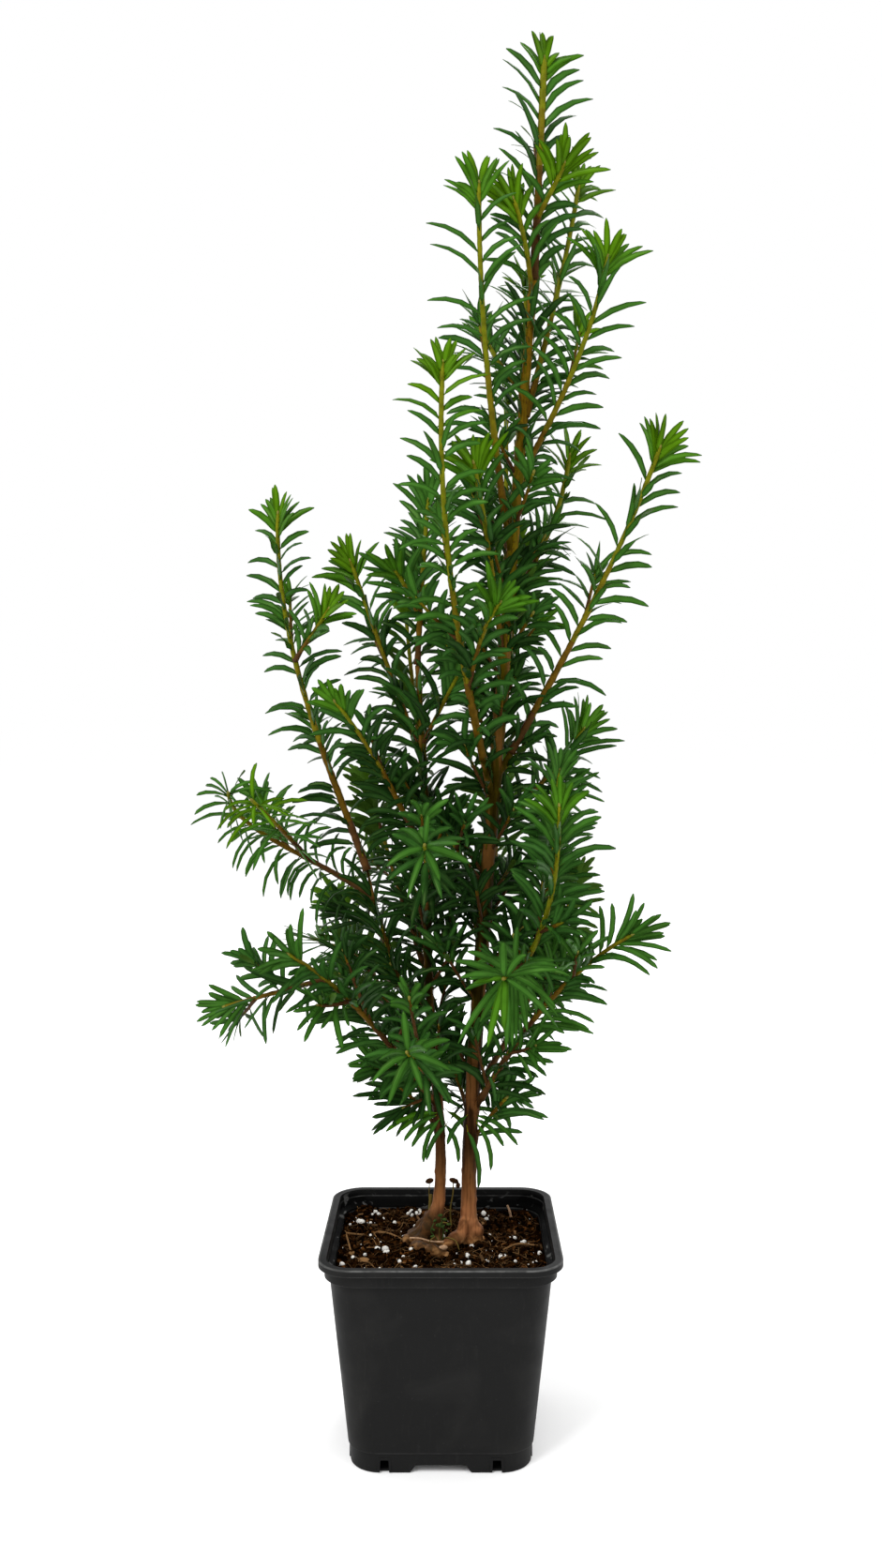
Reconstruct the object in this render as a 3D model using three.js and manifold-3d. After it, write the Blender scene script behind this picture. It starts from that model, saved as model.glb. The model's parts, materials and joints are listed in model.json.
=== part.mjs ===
/*
 * A young English yew in a square nursery pot.
 * Millimetres, +Z up. The origin is on the floor under the middle of the pot, and -Y is the front.
 *
 * Two stems rise side by side from one root crown. Shoots grow from them by one rule: a shoot leaves
 * its parent at a turn and a rise, and both change evenly along it. The older shoots start as a bare
 * woody bough, and the rest of each shoot is a mass of needles on a twig of its own.
 */
import * as THREE from "three";
import { mergeVertices } from "three/addons/utils/BufferGeometryUtils.js";
import Module from "manifold-3d";

const wasm = await Module();
wasm.setup();

const UP = new THREE.Vector3(0, 0, 1);
const GAP = 0.3; // clearance between pieces that touch
const GOLDEN_ANGLE = THREE.MathUtils.degToRad(137.5);

// Pot: half widths and heights of its outer faces, from the floor up.
const POT_HEIGHT = 95.5;
const RIM_HALF = 55;
const RIM_CORNER = 15.5;
const LIP_HEIGHT = 3;
const BAND_HALF = 52.4;
const BAND_HEIGHT = 5.8;
const BODY_TOP_HALF = 50.3;
const BODY_FOOT_HALF = 42.3;
const FOOT_CORNER = 14;
const SKIRT_HEIGHT = 8.6;
const SKIRT_INSET = 1.1;
const SKIRT_SPREAD = 0.4; // how much wider the skirt is at its top than at its foot, on each side
const STEP_HEIGHT = 0.4;
const RIM_FACE = 3.6;
const WALL = 1.4;
const FLOOR_TOP = 7;
const FLOOR_THICK = 2;
const FOOT_PAD_THICK = 1.8;
const CROSS_HALF = 22; // half width of the raised cross between the four foot pads
const SLOT = { offset: 25.2, width: 4.4, height: 5.6, depth: 6 };
const NOTCH = { foot: 27, top: 22.5, height: 3.3, depth: 6 };
const CORNER_STEPS = 3; // faces round each corner
const BODY_TOP = POT_HEIGHT - LIP_HEIGHT - BAND_HEIGHT;

// Potting mix: its top is level round the stems and lumpy towards the wall.
const MIX_LEVEL = 86;
const MIX_TILT = { x: -0.03, y: 0.02 };
const MIX_LUMP = 1.1;
const MIX_EDGE_DEPTH = 5; // how far down the wall the lumpy top reaches
const MIX_SIDE_STEPS = 3;
const MIX_RINGS = [{ scale: 1, lumps: 1 }, { scale: 0.75, lumps: 1 }, { scale: 0.48, lumps: 0 }];

// Stems: the line each follows from its flat cut on the mix, its radii, its flare, and the root ridges
// that spread from it: which way each turns, how far it reaches and how high up the stem it starts.
const STEMS = {
  main_stem: {
    line: [
      [13, 6, 86.3], [13.5, 5.5, 130], [20, 3, 237], [30, 1, 367], [38.5, 0, 478], [44, 0, 546],
    ],
    radius: [3.6, 3.3, 2.9, 1.9], flare: 1.8, flareHeight: 7, sides: 9, rings: 15,
    roots: [
      { turn: 208, reach: 15, rise: 9 },
      { turn: 350, reach: 7, rise: 8 },
      { turn: 80, reach: 8, rise: 7 },
    ],
  },
  left_stem: {
    line: [
      [-3.5, 5, 86.3], [-0.5, 5, 117], [-1, 6, 142], [-6.5, 9, 215], [-6.5, 8, 270], [-11.5, 4, 363],
    ],
    radius: [2.9, 2.2, 1.6, 1.3], flare: 1.8, flareHeight: 8, sides: 8, rings: 12,
    roots: [
      { turn: 186, reach: 14, rise: 13 },
      { turn: 250, reach: 9, rise: 9 },
      { turn: 120, reach: 9, rise: 8 },
    ],
  },
};
const STEM_RING_CROWDING = 1.5; // above 1, a stem's rings stand closer together towards its foot
const ROOT_RADIUS = [3, 2];
const ROOT_SIDES = 5;
const ROOT_DROP = 0.3; // share of its height that a root ridge still has half-way out

/*
 * Shoots. from: what it grows from, and at: how far along that, 0 to 1. turn and rise: compass turn
 * from +X and angle above level of its start, in degrees, with swing and curl the change by its tip.
 * wood: the part of its length that is a bare bough. A shoot with on is a side twig of that mass.
 */
const SHOOTS = {
  left_bough: { from: "left_stem", at: 0.29, turn: -170, rise: 68, curl: 10, swing: 5, length: 104,
    wood: 1 },
  left_tall: { from: "left_bough", at: 1, turn: 155, rise: 67, curl: 25, swing: 45, length: 178 },
  tall_twig: { on: "left_tall", at: 0.6, turn: -60, rise: 34, curl: 15, swing: 20, length: 37 },
  left_arch: { from: "left_bough", at: 0.86, turn: 140, rise: 28, curl: 5, swing: 135, length: 106 },
  arch_twig: { on: "left_arch", at: 0.37, turn: -105, rise: 27, curl: 0, swing: -5, length: 70 },
  left_hidden: { from: "left_bough", at: 0.66, turn: 120, rise: 23, curl: -5, swing: 40, length: 37 },
  low_left_back: { from: "left_bough", at: 0.42, turn: 125, rise: 16, curl: -10, swing: 15, length: 75 },
  left_top: { from: "left_stem", at: 1, turn: -60, rise: 85, curl: 0, swing: 45, length: 79 },
  left_top_twig: { on: "left_top", at: 0.28, turn: -120, rise: 50, curl: -20, swing: 0, length: 31 },
  leader: { from: "main_stem", at: 1, turn: 0, rise: 87, curl: 0, swing: 45, length: 107 },
  top_right: { on: "leader", at: 0.27, turn: -60, rise: 41, curl: 15, swing: 15, length: 29 },
  top_left: { from: "main_stem", at: 0.98, turn: -105, rise: 71, curl: -5, swing: -40, length: 46 },
  right_inner: { from: "main_stem", at: 0.84, turn: 5, rise: 75, curl: -5, swing: 60, length: 134,
    wood: 0.15 },
  right_outer: { from: "main_stem", at: 0.79, turn: -15, rise: 60, curl: 15, swing: -30, length: 111,
    wood: 0.15 },
  left_upper: { from: "main_stem", at: 0.71, turn: -120, rise: 71, curl: 20, swing: 10, length: 172,
    wood: 0.25 },
  right_small: { from: "main_stem", at: 0.66, turn: 40, rise: 51, curl: 25, swing: 15, length: 93 },
  inner_front: { from: "main_stem", at: 0.6, turn: -115, rise: 73, curl: -20, swing: 5, length: 99 },
  left_mid: { from: "main_stem", at: 0.46, turn: -115, rise: 60, curl: 40, swing: 5, length: 209,
    wood: 0.25 },
  mid_front: { on: "left_mid", at: 0.29, turn: -70, rise: 59, curl: -30, swing: 10, length: 50 },
  right_long: { from: "main_stem", at: 0.48, turn: -10, rise: 60, curl: 10, swing: -5, length: 175,
    wood: 0.2 },
  right_mid: { from: "main_stem", at: 0.43, turn: 30, rise: 35, curl: 20, swing: 0, length: 73 },
  right_back: { from: "main_stem", at: 0.28, turn: 5, rise: 43, curl: 85, swing: -115, length: 114 },
  right_front: { from: "main_stem", at: 0.23, turn: -50, rise: 39, curl: 55, swing: -25, length: 132,
    wood: 0.2 },
  front_right: { on: "right_front", at: 0.37, turn: -100, rise: 5, curl: 0, swing: 0, length: 69 },
  low_right: { from: "main_stem", at: 0.13, turn: -45, rise: 56, curl: -25, swing: 20, length: 129,
    wood: 0.2 },
  front_left: { from: "left_stem", at: 0.62, turn: -90, rise: 16, curl: 0, swing: 0, length: 97 },
  low_front: { from: "left_stem", at: 0.27, turn: -97, rise: 22, curl: 0, swing: 0, length: 100 },
  low_left: { from: "left_stem", at: 0.23, turn: -130, rise: 47, curl: -20, swing: 5, length: 136,
    wood: 0.2 },
  low_left_side: { on: "low_left", at: 0.8, turn: 165, rise: -17, curl: 0, swing: 0, length: 49 },
  inner_left: { from: "left_stem", at: 0.65, turn: -140, rise: 61, curl: -15, swing: -5, length: 95 },
  left_slim: { from: "left_stem", at: 0.83, turn: 170, rise: 69, curl: 0, swing: -15, length: 105 },
  back_low_left: { from: "left_stem", at: 0.2, turn: 118, rise: 42, curl: 5, swing: 10, length: 138,
    wood: 0.2 },
  back_low_right: { from: "main_stem", at: 0.15, turn: 50, rise: 38, curl: 10, swing: 15, length: 144,
    wood: 0.2 },
  back_mid_right: { from: "main_stem", at: 0.3, turn: 78, rise: 40, curl: 10, swing: 10, length: 128,
    wood: 0.2 },
  back_mid_left: { from: "left_stem", at: 0.45, turn: 115, rise: 48, curl: 15, swing: 5, length: 118,
    wood: 0.2 },
  back_upper_right: { from: "main_stem", at: 0.46, turn: 72, rise: 60, curl: 15, swing: 10, length: 140,
    wood: 0.2 },
  back_upper_left: { from: "left_stem", at: 0.72, turn: 98, rise: 56, curl: 20, swing: 10, length: 124,
    wood: 0.2 },
  back_high: { from: "main_stem", at: 0.64, turn: 88, rise: 64, curl: 15, swing: 0, length: 132,
    wood: 0.2 },
  back_top: { from: "main_stem", at: 0.82, turn: 82, rise: 66, curl: 10, swing: 0, length: 98 },
  spur_left_low: { from: "left_stem", at: 0.5, turn: 20, rise: 45, curl: 10, swing: 20, length: 46 },
  spur_left_high: { from: "left_stem", at: 0.86, turn: -60, rise: 48, curl: 10, swing: 20, length: 42 },
  spur_main_low: { from: "main_stem", at: 0.37, turn: 222, rise: 42, curl: 10, swing: 20, length: 48 },
  spur_main_mid: { from: "main_stem", at: 0.55, turn: 190, rise: 50, curl: 10, swing: -20, length: 44 },
  spur_main_high: { from: "main_stem", at: 0.88, turn: 150, rise: 50, curl: 10, swing: -20, length: 40 },
  foot_left: { from: "left_stem", at: 0.19, turn: 165, rise: 50, curl: -10, swing: 20, length: 30 },
  foot_right: { from: "main_stem", at: 0.1, turn: -8, rise: 56, curl: -10, swing: -20, length: 30 },
  foot_back: { from: "main_stem", at: 0.12, turn: 105, rise: 48, curl: -5, swing: 20, length: 34 },
};
const GROW_STEPS = 24; // straight steps that a shoot's line is grown in
const CLEARANCE_STEP = 12; // a limb is tested for room in straight stretches of about this length

// Twigs and boughs: radius from base to tip grows with the shoot's length.
const TWIG_TIP_RADIUS = 1;
const TWIG_BASE_RADIUS = 1.1;
const RADIUS_PER_LENGTH = 0.006;
const TWIG_SIDES = 3;
const BOUGH_SIDES = 6;
const TWIG_RING_SPACING = 26;
const CARRIER_EXTRA_SIDES = 3; // a shoot's base is cut clear of a rounder copy of its carrier
const CARRIER_MARGIN = 0.1;

// Side twigs: one for about every stretch of this length, short, and set round the shoot in turn.
const SIDE_TWIG_STRETCH = 105;
const SIDE_TWIG_LENGTH = [22, 34];
const SIDE_TWIG_ANGLE = THREE.MathUtils.degToRad(42);
const SIDE_TWIG_FROM = 0.15;
const SIDE_TWIG_TO = 0.8;

// Needles: larger than life in width, so that a few hundred fill the crown.
const NEEDLE_SPACING = 6.3;
const NEEDLE_LENGTH = 30;
const NEEDLE_WIDTH = 6;
const NEEDLE_THICKNESS = 1;
const NEEDLE_WAIST = 0.42; // how far along a needle its widest place is
const TRIANGLE_HEIGHT = 1.5; // of the three-cornered waist, before it is scaled to its thickness
const TIP_STRETCH = 0.75; // from here to a twig's tip its needles grow shorter and point ahead
const TIP_NEEDLE_LENGTH = 0.58;
const TIP_NEEDLE_WIDTH = 0.75;
const TIP_NEEDLES = 2; // more of them close to each tip
const TIP_NEEDLE_PLACE = 0.985;
const LEAN_UPRIGHT = THREE.MathUtils.degToRad(42);
const LEAN_LEVEL = THREE.MathUtils.degToRad(60);
const LEAN_TIP = THREE.MathUtils.degToRad(24);
const ARCH_UPRIGHT = THREE.MathUtils.degToRad(30);
const LEAN_RANGE = THREE.MathUtils.degToRad(12);
const ARCH_RANGE = [0.7, 1.3];
const LENGTH_RANGE = [0.88, 1.08];
const TWIST = THREE.MathUtils.degToRad(80); // how far round their own line needles turn, at most, in all
const COMB = 0.85; // how far a level shoot's needles are combed to its two sides
const BARE_START = 7;
const STEEP = 0.95; // above this, a twig is taken as upright when its two sides are chosen

const FIRST_SEED = 1000;
const SEED_STEP = 97;
const MERGE_DISTANCE = 1e-4;

const MATERIALS = {
  pot: { color: 0x2b2b2b, roughness: 0.55 },
  mix: { color: 0x3a2a1c, roughness: 1 },
  stem: { color: 0x76502f, roughness: 0.85 },
  bough: { color: 0x7d5a2c, roughness: 0.8 },
  needles: { color: 0x2f6a24, roughness: 0.45 },
};

/** The line and radius of every stem and shoot, by name. */
const limbs = {};

/** Everything built so far, as straight stretches with a radius, each owned by one mass or limb. */
const taken = [];

/** A repeatable run of numbers from 0 to 1. */
function seeded(seed) {
  let state = seed;
  return () => {
    state = (state * 16807) % 2147483647;
    return state / 2147483647;
  };
}

/** A closed geometry as a solid that can be joined and cut. */
function solidOf(geometry) {
  const plain = geometry.clone();
  plain.deleteAttribute("normal");
  plain.deleteAttribute("uv");
  const merged = mergeVertices(plain, MERGE_DISTANCE);
  return new wasm.Manifold(new wasm.Mesh({
    numProp: 3,
    vertProperties: new Float32Array(merged.attributes.position.array),
    triVerts: new Uint32Array(merged.index.array),
  }));
}

/** The largest single body of a solid, as a geometry. */
function geometryOf(solid) {
  const bodies = solid.decompose();
  const largest = bodies.reduce((best, body) => (body.volume() > best.volume() ? body : best));
  const mesh = largest.getMesh();
  const geometry = new THREE.BufferGeometry();
  geometry.setAttribute("position", new THREE.BufferAttribute(mesh.vertProperties, 3));
  geometry.setIndex(Array.from(mesh.triVerts));
  geometry.computeVertexNormals();
  return geometry;
}

function meshOf(name, geometry, look) {
  const mesh = new THREE.Mesh(geometry, new THREE.MeshStandardMaterial({ metalness: 0, ...look }));
  mesh.name = name;
  return mesh;
}

/** A level square outline with rounded corners, anticlockwise seen from above. */
function roundedSquare(half, corner, z, sideSteps = 1) {
  const ring = [];
  for (let quarter = 0; quarter < 4; quarter += 1) {
    const middle = (quarter + 0.5) * Math.PI / 2;
    const centreX = Math.sign(Math.cos(middle)) * (half - corner);
    const centreY = Math.sign(Math.sin(middle)) * (half - corner);
    for (let step = 0; step <= CORNER_STEPS; step += 1) {
      const angle = (quarter + step / CORNER_STEPS) * Math.PI / 2;
      const arm = new THREE.Vector3(Math.cos(angle), Math.sin(angle), 0).multiplyScalar(corner);
      ring.push(arm.add(new THREE.Vector3(centreX, centreY, z)));
    }
    const last = ring[ring.length - 1];
    const run = new THREE.Vector3(-Math.sin(middle + Math.PI / 4), Math.cos(middle + Math.PI / 4), 0);
    for (let step = 1; step < sideSteps; step += 1) {
      ring.push(last.clone().addScaledVector(run, 2 * (half - corner) * step / sideSteps));
    }
  }
  return ring;
}

/** A closed solid through a stack of outlines, with a flat fan over each end. */
function loft(rings) {
  const count = rings[0].length;
  const sum = (ring) => ring.reduce((total, point) => total.add(point), new THREE.Vector3());
  const ends = [rings[0], rings[rings.length - 1]].map((ring) => sum(ring).divideScalar(count));
  const points = [...rings.flat(), ...ends];
  const foot = points.length - 2;
  const head = points.length - 1;
  const top = (rings.length - 1) * count;
  const index = [];
  for (let i = 0; i < count; i += 1) {
    const next = (i + 1) % count;
    for (let r = 0; r < top; r += count) {
      index.push(r + i, r + next, r + count + next, r + i, r + count + next, r + count + i);
    }
    index.push(foot, next, i, head, top + i, top + next);
  }
  const geometry = new THREE.BufferGeometry().setFromPoints(points);
  geometry.setIndex(index);
  return geometry;
}

function boxSolid(width, depth, low, high) {
  const box = new THREE.BoxGeometry(width, depth, high - low);
  box.translate(0, 0, (low + high) / 2);
  return solidOf(box);
}

/** The raised cross between the foot pads, as far as the pot's outside. */
function crossSolid(half, low, high) {
  const reach = 2 * RIM_HALF;
  return boxSolid(reach, 2 * half, low, high).add(boxSolid(2 * half, reach, low, high));
}

/** The outline of the body's inner face at a height, drawn in by a gap. */
function insideOutline(z, gap, sideSteps = 1) {
  const rise = (z - SKIRT_HEIGHT) / (BODY_TOP + WALL - SKIRT_HEIGHT);
  const half = THREE.MathUtils.lerp(BODY_FOOT_HALF, BODY_TOP_HALF, rise) - WALL - gap;
  const corner = THREE.MathUtils.lerp(FOOT_CORNER, RIM_CORNER, rise) - WALL - gap;
  return roundedSquare(half, corner, z, sideSteps);
}

/** The outline of the foot pads' hollows, drawn in from wall and floor by a gap. */
function padOutline(gap, sideSteps = 1) {
  const inset = WALL + gap;
  const z = FOOT_PAD_THICK + gap;
  return roundedSquare(BODY_FOOT_HALF - SKIRT_INSET - inset, FOOT_CORNER - inset, z, sideSteps);
}

/** The space inside the pot, from the foot pads up past the rim. */
function potInside() {
  const well = loft([
    padOutline(0),
    insideOutline(SKIRT_HEIGHT, 0),
    insideOutline(BODY_TOP + WALL, 0),
    roundedSquare(BAND_HALF - WALL, RIM_CORNER - WALL, BODY_TOP + 2 * WALL),
    roundedSquare(RIM_HALF - RIM_FACE, RIM_CORNER - RIM_FACE, POT_HEIGHT + GAP),
  ]);
  return solidOf(well).subtract(crossSolid(CROSS_HALF + WALL, -GAP, FLOOR_TOP));
}

/** The recess under the raised cross, inside the skirt. */
function underside() {
  const inner = 2 * (BODY_FOOT_HALF - SKIRT_INSET - WALL);
  const low = -GAP;
  const high = FLOOR_TOP - FLOOR_THICK;
  return boxSolid(inner, 2 * CROSS_HALF, low, high).add(boxSolid(2 * CROSS_HALF, inner, low, high));
}

/** The notch and the two drain slots in one face of the skirt, turned to each face in turn. */
function skirtCuts() {
  const shape = new THREE.Shape([
    new THREE.Vector2(-NOTCH.foot / 2, -GAP),
    new THREE.Vector2(NOTCH.foot / 2, -GAP),
    new THREE.Vector2(NOTCH.top / 2, NOTCH.height),
    new THREE.Vector2(-NOTCH.top / 2, NOTCH.height),
  ]);
  const notch = new THREE.ExtrudeGeometry(shape, { depth: NOTCH.depth, bevelEnabled: false });
  notch.rotateX(Math.PI / 2);
  notch.translate(0, -BODY_FOOT_HALF + NOTCH.depth / 2, 0);
  const face = [notch];
  for (const side of [-1, 1]) {
    const slot = new THREE.BoxGeometry(SLOT.width, SLOT.depth, SLOT.height + GAP);
    slot.translate(side * SLOT.offset, -BODY_FOOT_HALF, (SLOT.height - GAP) / 2);
    face.push(slot);
  }
  const cuts = [];
  for (let quarter = 0; quarter < 4; quarter += 1) {
    for (const piece of face) {
      const turned = piece.clone();
      turned.rotateZ(quarter * Math.PI / 2);
      cuts.push(solidOf(turned));
    }
  }
  return cuts;
}

function makePot() {
  const skirtHalf = BODY_FOOT_HALF - SKIRT_INSET;
  const outside = loft([
    roundedSquare(skirtHalf, FOOT_CORNER, 0),
    roundedSquare(skirtHalf + SKIRT_SPREAD, FOOT_CORNER, SKIRT_HEIGHT),
    roundedSquare(BODY_FOOT_HALF, FOOT_CORNER, SKIRT_HEIGHT + STEP_HEIGHT),
    roundedSquare(BODY_TOP_HALF, RIM_CORNER, BODY_TOP),
    roundedSquare(BAND_HALF, RIM_CORNER, BODY_TOP + STEP_HEIGHT),
    roundedSquare(BAND_HALF, RIM_CORNER, POT_HEIGHT - LIP_HEIGHT - STEP_HEIGHT),
    roundedSquare(RIM_HALF, RIM_CORNER, POT_HEIGHT - LIP_HEIGHT),
    roundedSquare(RIM_HALF, RIM_CORNER, POT_HEIGHT),
  ]);
  let pot = solidOf(outside).subtract(potInside()).subtract(underside());
  for (const cut of skirtCuts()) {
    pot = pot.subtract(cut);
  }
  return meshOf("pot", geometryOf(pot), MATERIALS.pot);
}

/** Height of the mix: tilted and lumpy by the wall, level where the stems stand. */
function mixHeight(x, y, lumps) {
  const tilt = MIX_TILT.x * x + MIX_TILT.y * y;
  const broad = Math.sin(0.31 * x + 1) * Math.sin(0.27 * y + 2);
  const fine = 0.5 * Math.sin(0.7 * x - 0.5 * y);
  return MIX_LEVEL + lumps * (tilt + MIX_LUMP * (broad + fine));
}

function makePottingMix() {
  const edge = insideOutline(MIX_LEVEL - MIX_EDGE_DEPTH, GAP, MIX_SIDE_STEPS);
  const side = insideOutline(SKIRT_HEIGHT, GAP, MIX_SIDE_STEPS);
  const rings = [padOutline(GAP, MIX_SIDE_STEPS), side, edge];
  for (const { scale, lumps } of MIX_RINGS) {
    rings.push(edge.map(({ x, y }) => new THREE.Vector3(
      scale * x, scale * y, mixHeight(scale * x, scale * y, lumps))));
  }
  const cross = crossSolid(CROSS_HALF + WALL + GAP, -GAP, FLOOR_TOP + GAP);
  const mix = solidOf(loft(rings)).subtract(cross);
  return meshOf("potting_mix", geometryOf(mix), MATERIALS.mix);
}

/** A limb is a line with a radius at each place along it. */
function limbOf(points, radiusAt) {
  const curve = new THREE.CatmullRomCurve3(points);
  curve.arcLengthDivisions = 8 * points.length;
  return { curve, radiusAt, length: curve.getLength() };
}

/** A value part-way through an even list of values. */
function along(values, u) {
  const place = Math.min(Math.max(u, 0), 1) * (values.length - 1);
  const low = Math.min(Math.floor(place), values.length - 2);
  return values[low] + (values[low + 1] - values[low]) * (place - low);
}

/** The stretch of a limb from one place to another, as a closed tube round its line. */
function limbGeometry(limb, { from = 0, to = 1, sides, rings, extra = 0, flare = () => 0, crowd = 1 }) {
  const tube = new THREE.CylinderGeometry(1, 1, 1, sides, rings);
  const frames = limb.curve.computeFrenetFrames(GROW_STEPS, false);
  const position = tube.attributes.position;
  const point = new THREE.Vector3();
  for (let i = 0; i < position.count; i += 1) {
    point.fromBufferAttribute(position, i);
    const u = Math.min(from + (to - from) * (point.y + 0.5) ** crowd, 1);
    const frame = Math.round(u * GROW_STEPS);
    const spread = Math.hypot(point.x, point.z);
    const angle = Math.atan2(point.z, point.x);
    const centre = limb.curve.getPointAt(u);
    const reach = spread * (limb.radiusAt(u) + extra + flare(centre.z));
    const side = frames.normals[frame];
    const back = frames.binormals[frame];
    centre.addScaledVector(side, reach * Math.cos(angle));
    centre.addScaledVector(back, -reach * Math.sin(angle));
    position.setXYZ(i, centre.x, centre.y, centre.z);
  }
  return tube;
}

function stemLimb({ line, radius }) {
  return limbOf(line.map((point) => new THREE.Vector3(...point)), (u) => along(radius, u));
}

/** A root ridge: it runs out from inside the stem and down to the mix. */
function rootSolid([x, y, ground], { turn, reach, rise }, extra) {
  const heading = THREE.MathUtils.degToRad(turn);
  const way = new THREE.Vector3(Math.cos(heading), Math.sin(heading), 0);
  const foot = new THREE.Vector3(x, y, ground);
  const points = [[0, rise], [0.5, ROOT_DROP * rise], [1, 0]].map(([share, height]) => (
    foot.clone().addScaledVector(way, share * reach).addScaledVector(UP, height)));
  const root = limbOf(points, (u) => along(ROOT_RADIUS, u));
  return solidOf(limbGeometry(root, { sides: ROOT_SIDES, rings: 2, extra }));
}

/** A stem stands on a flat cut and spreads towards its roots. */
function stemSolid(name, extra = 0) {
  const { line, flare, flareHeight, sides, rings, roots } = STEMS[name];
  const ground = line[0][2];
  const spread = (z) => flare * Math.exp(-(z - ground) / flareHeight);
  const shaft = limbGeometry(limbs[name], {
    sides, rings, extra, flare: spread, crowd: STEM_RING_CROWDING,
  });
  const ridges = roots.map((root) => rootSolid(line[0], root, extra));
  const whole = wasm.Manifold.union([solidOf(shaft), ...ridges]);
  return whole.subtract(boxSolid(4 * RIM_HALF, 4 * RIM_HALF, ground - 4 * RIM_HALF, ground));
}

/** The line of a shoot: its turn and rise change evenly from its base to its tip. */
function grow(start, { turn, rise, swing, curl, length }) {
  const points = [start.clone()];
  for (let step = 0; step < GROW_STEPS; step += 1) {
    const s = (step + 0.5) / GROW_STEPS;
    const heading = THREE.MathUtils.degToRad(turn + swing * s);
    const climb = THREE.MathUtils.degToRad(rise + curl * s * s);
    const stride = length / GROW_STEPS;
    points.push(points[step].clone().add(new THREE.Vector3(
      stride * Math.cos(climb) * Math.cos(heading),
      stride * Math.cos(climb) * Math.sin(heading),
      stride * Math.sin(climb),
    )));
  }
  return points;
}

function shootLimb(shoot, parent) {
  const base = TWIG_BASE_RADIUS + RADIUS_PER_LENGTH * shoot.length;
  const start = parent.curve.getPointAt(shoot.at);
  const endsOn = shoot.at === 1;
  const baseRadius = endsOn ? Math.max(base, parent.radiusAt(1)) : base;
  return limbOf(grow(start, shoot), (u) => baseRadius + (TWIG_TIP_RADIUS - baseRadius) * u);
}

/** Shortest distance between two straight stretches. */
function stretchDistance(a, b) {
  const alongA = new THREE.Vector3().subVectors(a.end, a.start);
  const alongB = new THREE.Vector3().subVectors(b.end, b.start);
  const between = new THREE.Vector3().subVectors(a.start, b.start);
  const aa = alongA.dot(alongA);
  const bb = alongB.dot(alongB);
  const ab = alongA.dot(alongB);
  const ac = alongA.dot(between);
  const bc = alongB.dot(between);
  const clamp = (value) => Math.min(Math.max(value, 0), 1);
  const spread = aa * bb - ab * ab;
  let s = spread > 1e-9 ? clamp((ab * bc - ac * bb) / spread) : 0;
  const t = clamp((ab * s + bc) / bb);
  s = clamp((ab * t - ac) / aa);
  return between.addScaledVector(alongA, s).addScaledVector(alongB, -t).length();
}

/** Whether nothing of another owner comes closer than the gap to these stretches. */
function isClear(stretches, owner) {
  return stretches.every((stretch) => taken.every((other) => {
    if (other.owner === owner) {
      return true;
    }
    const reach = stretch.radius + other.radius + GAP;
    const near = stretch.start.distanceTo(other.start) < reach + other.span + stretch.span;
    return !near || stretchDistance(stretch, other) > reach;
  }));
}

function stretchOf(start, end, radius, owner) {
  return { start, end, radius, owner, span: start.distanceTo(end) };
}

function limbStretches(limb, from, to, owner) {
  const count = Math.max(2, Math.ceil(limb.length * (to - from) / CLEARANCE_STEP));
  const stretches = [];
  for (let i = 0; i < count; i += 1) {
    const low = from + (to - from) * i / count;
    const high = Math.min(from + (to - from) * (i + 1) / count, 1);
    const start = limb.curve.getPointAt(low);
    stretches.push(stretchOf(start, limb.curve.getPointAt(high), limb.radiusAt(low), owner));
  }
  return stretches;
}

/** The mass that a shoot belongs to. */
function massOf(name) {
  return SHOOTS[name].on ? massOf(SHOOTS[name].on) : name;
}

/** A needle: a slim blade of six faces, flat above and keeled below, bent at its waist. */
function needleSolid({ root, waist, tip, across, over, width }) {
  const blade = new THREE.SphereGeometry(1, 3, 2);
  const position = blade.attributes.position;
  const point = new THREE.Vector3();
  for (let i = 0; i < position.count; i += 1) {
    point.fromBufferAttribute(position, i);
    const corner = (point.y > 0.5 ? tip : point.y < -0.5 ? root : waist).clone();
    if (Math.abs(point.y) < 0.5) {
      corner.addScaledVector(across, Math.sign(Math.round(point.z)) * width / 2);
      corner.addScaledVector(over, point.x * NEEDLE_THICKNESS / TRIANGLE_HEIGHT);
    }
    position.setXYZ(i, corner.x, corner.y, corner.z);
  }
  return solidOf(blade);
}

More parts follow.
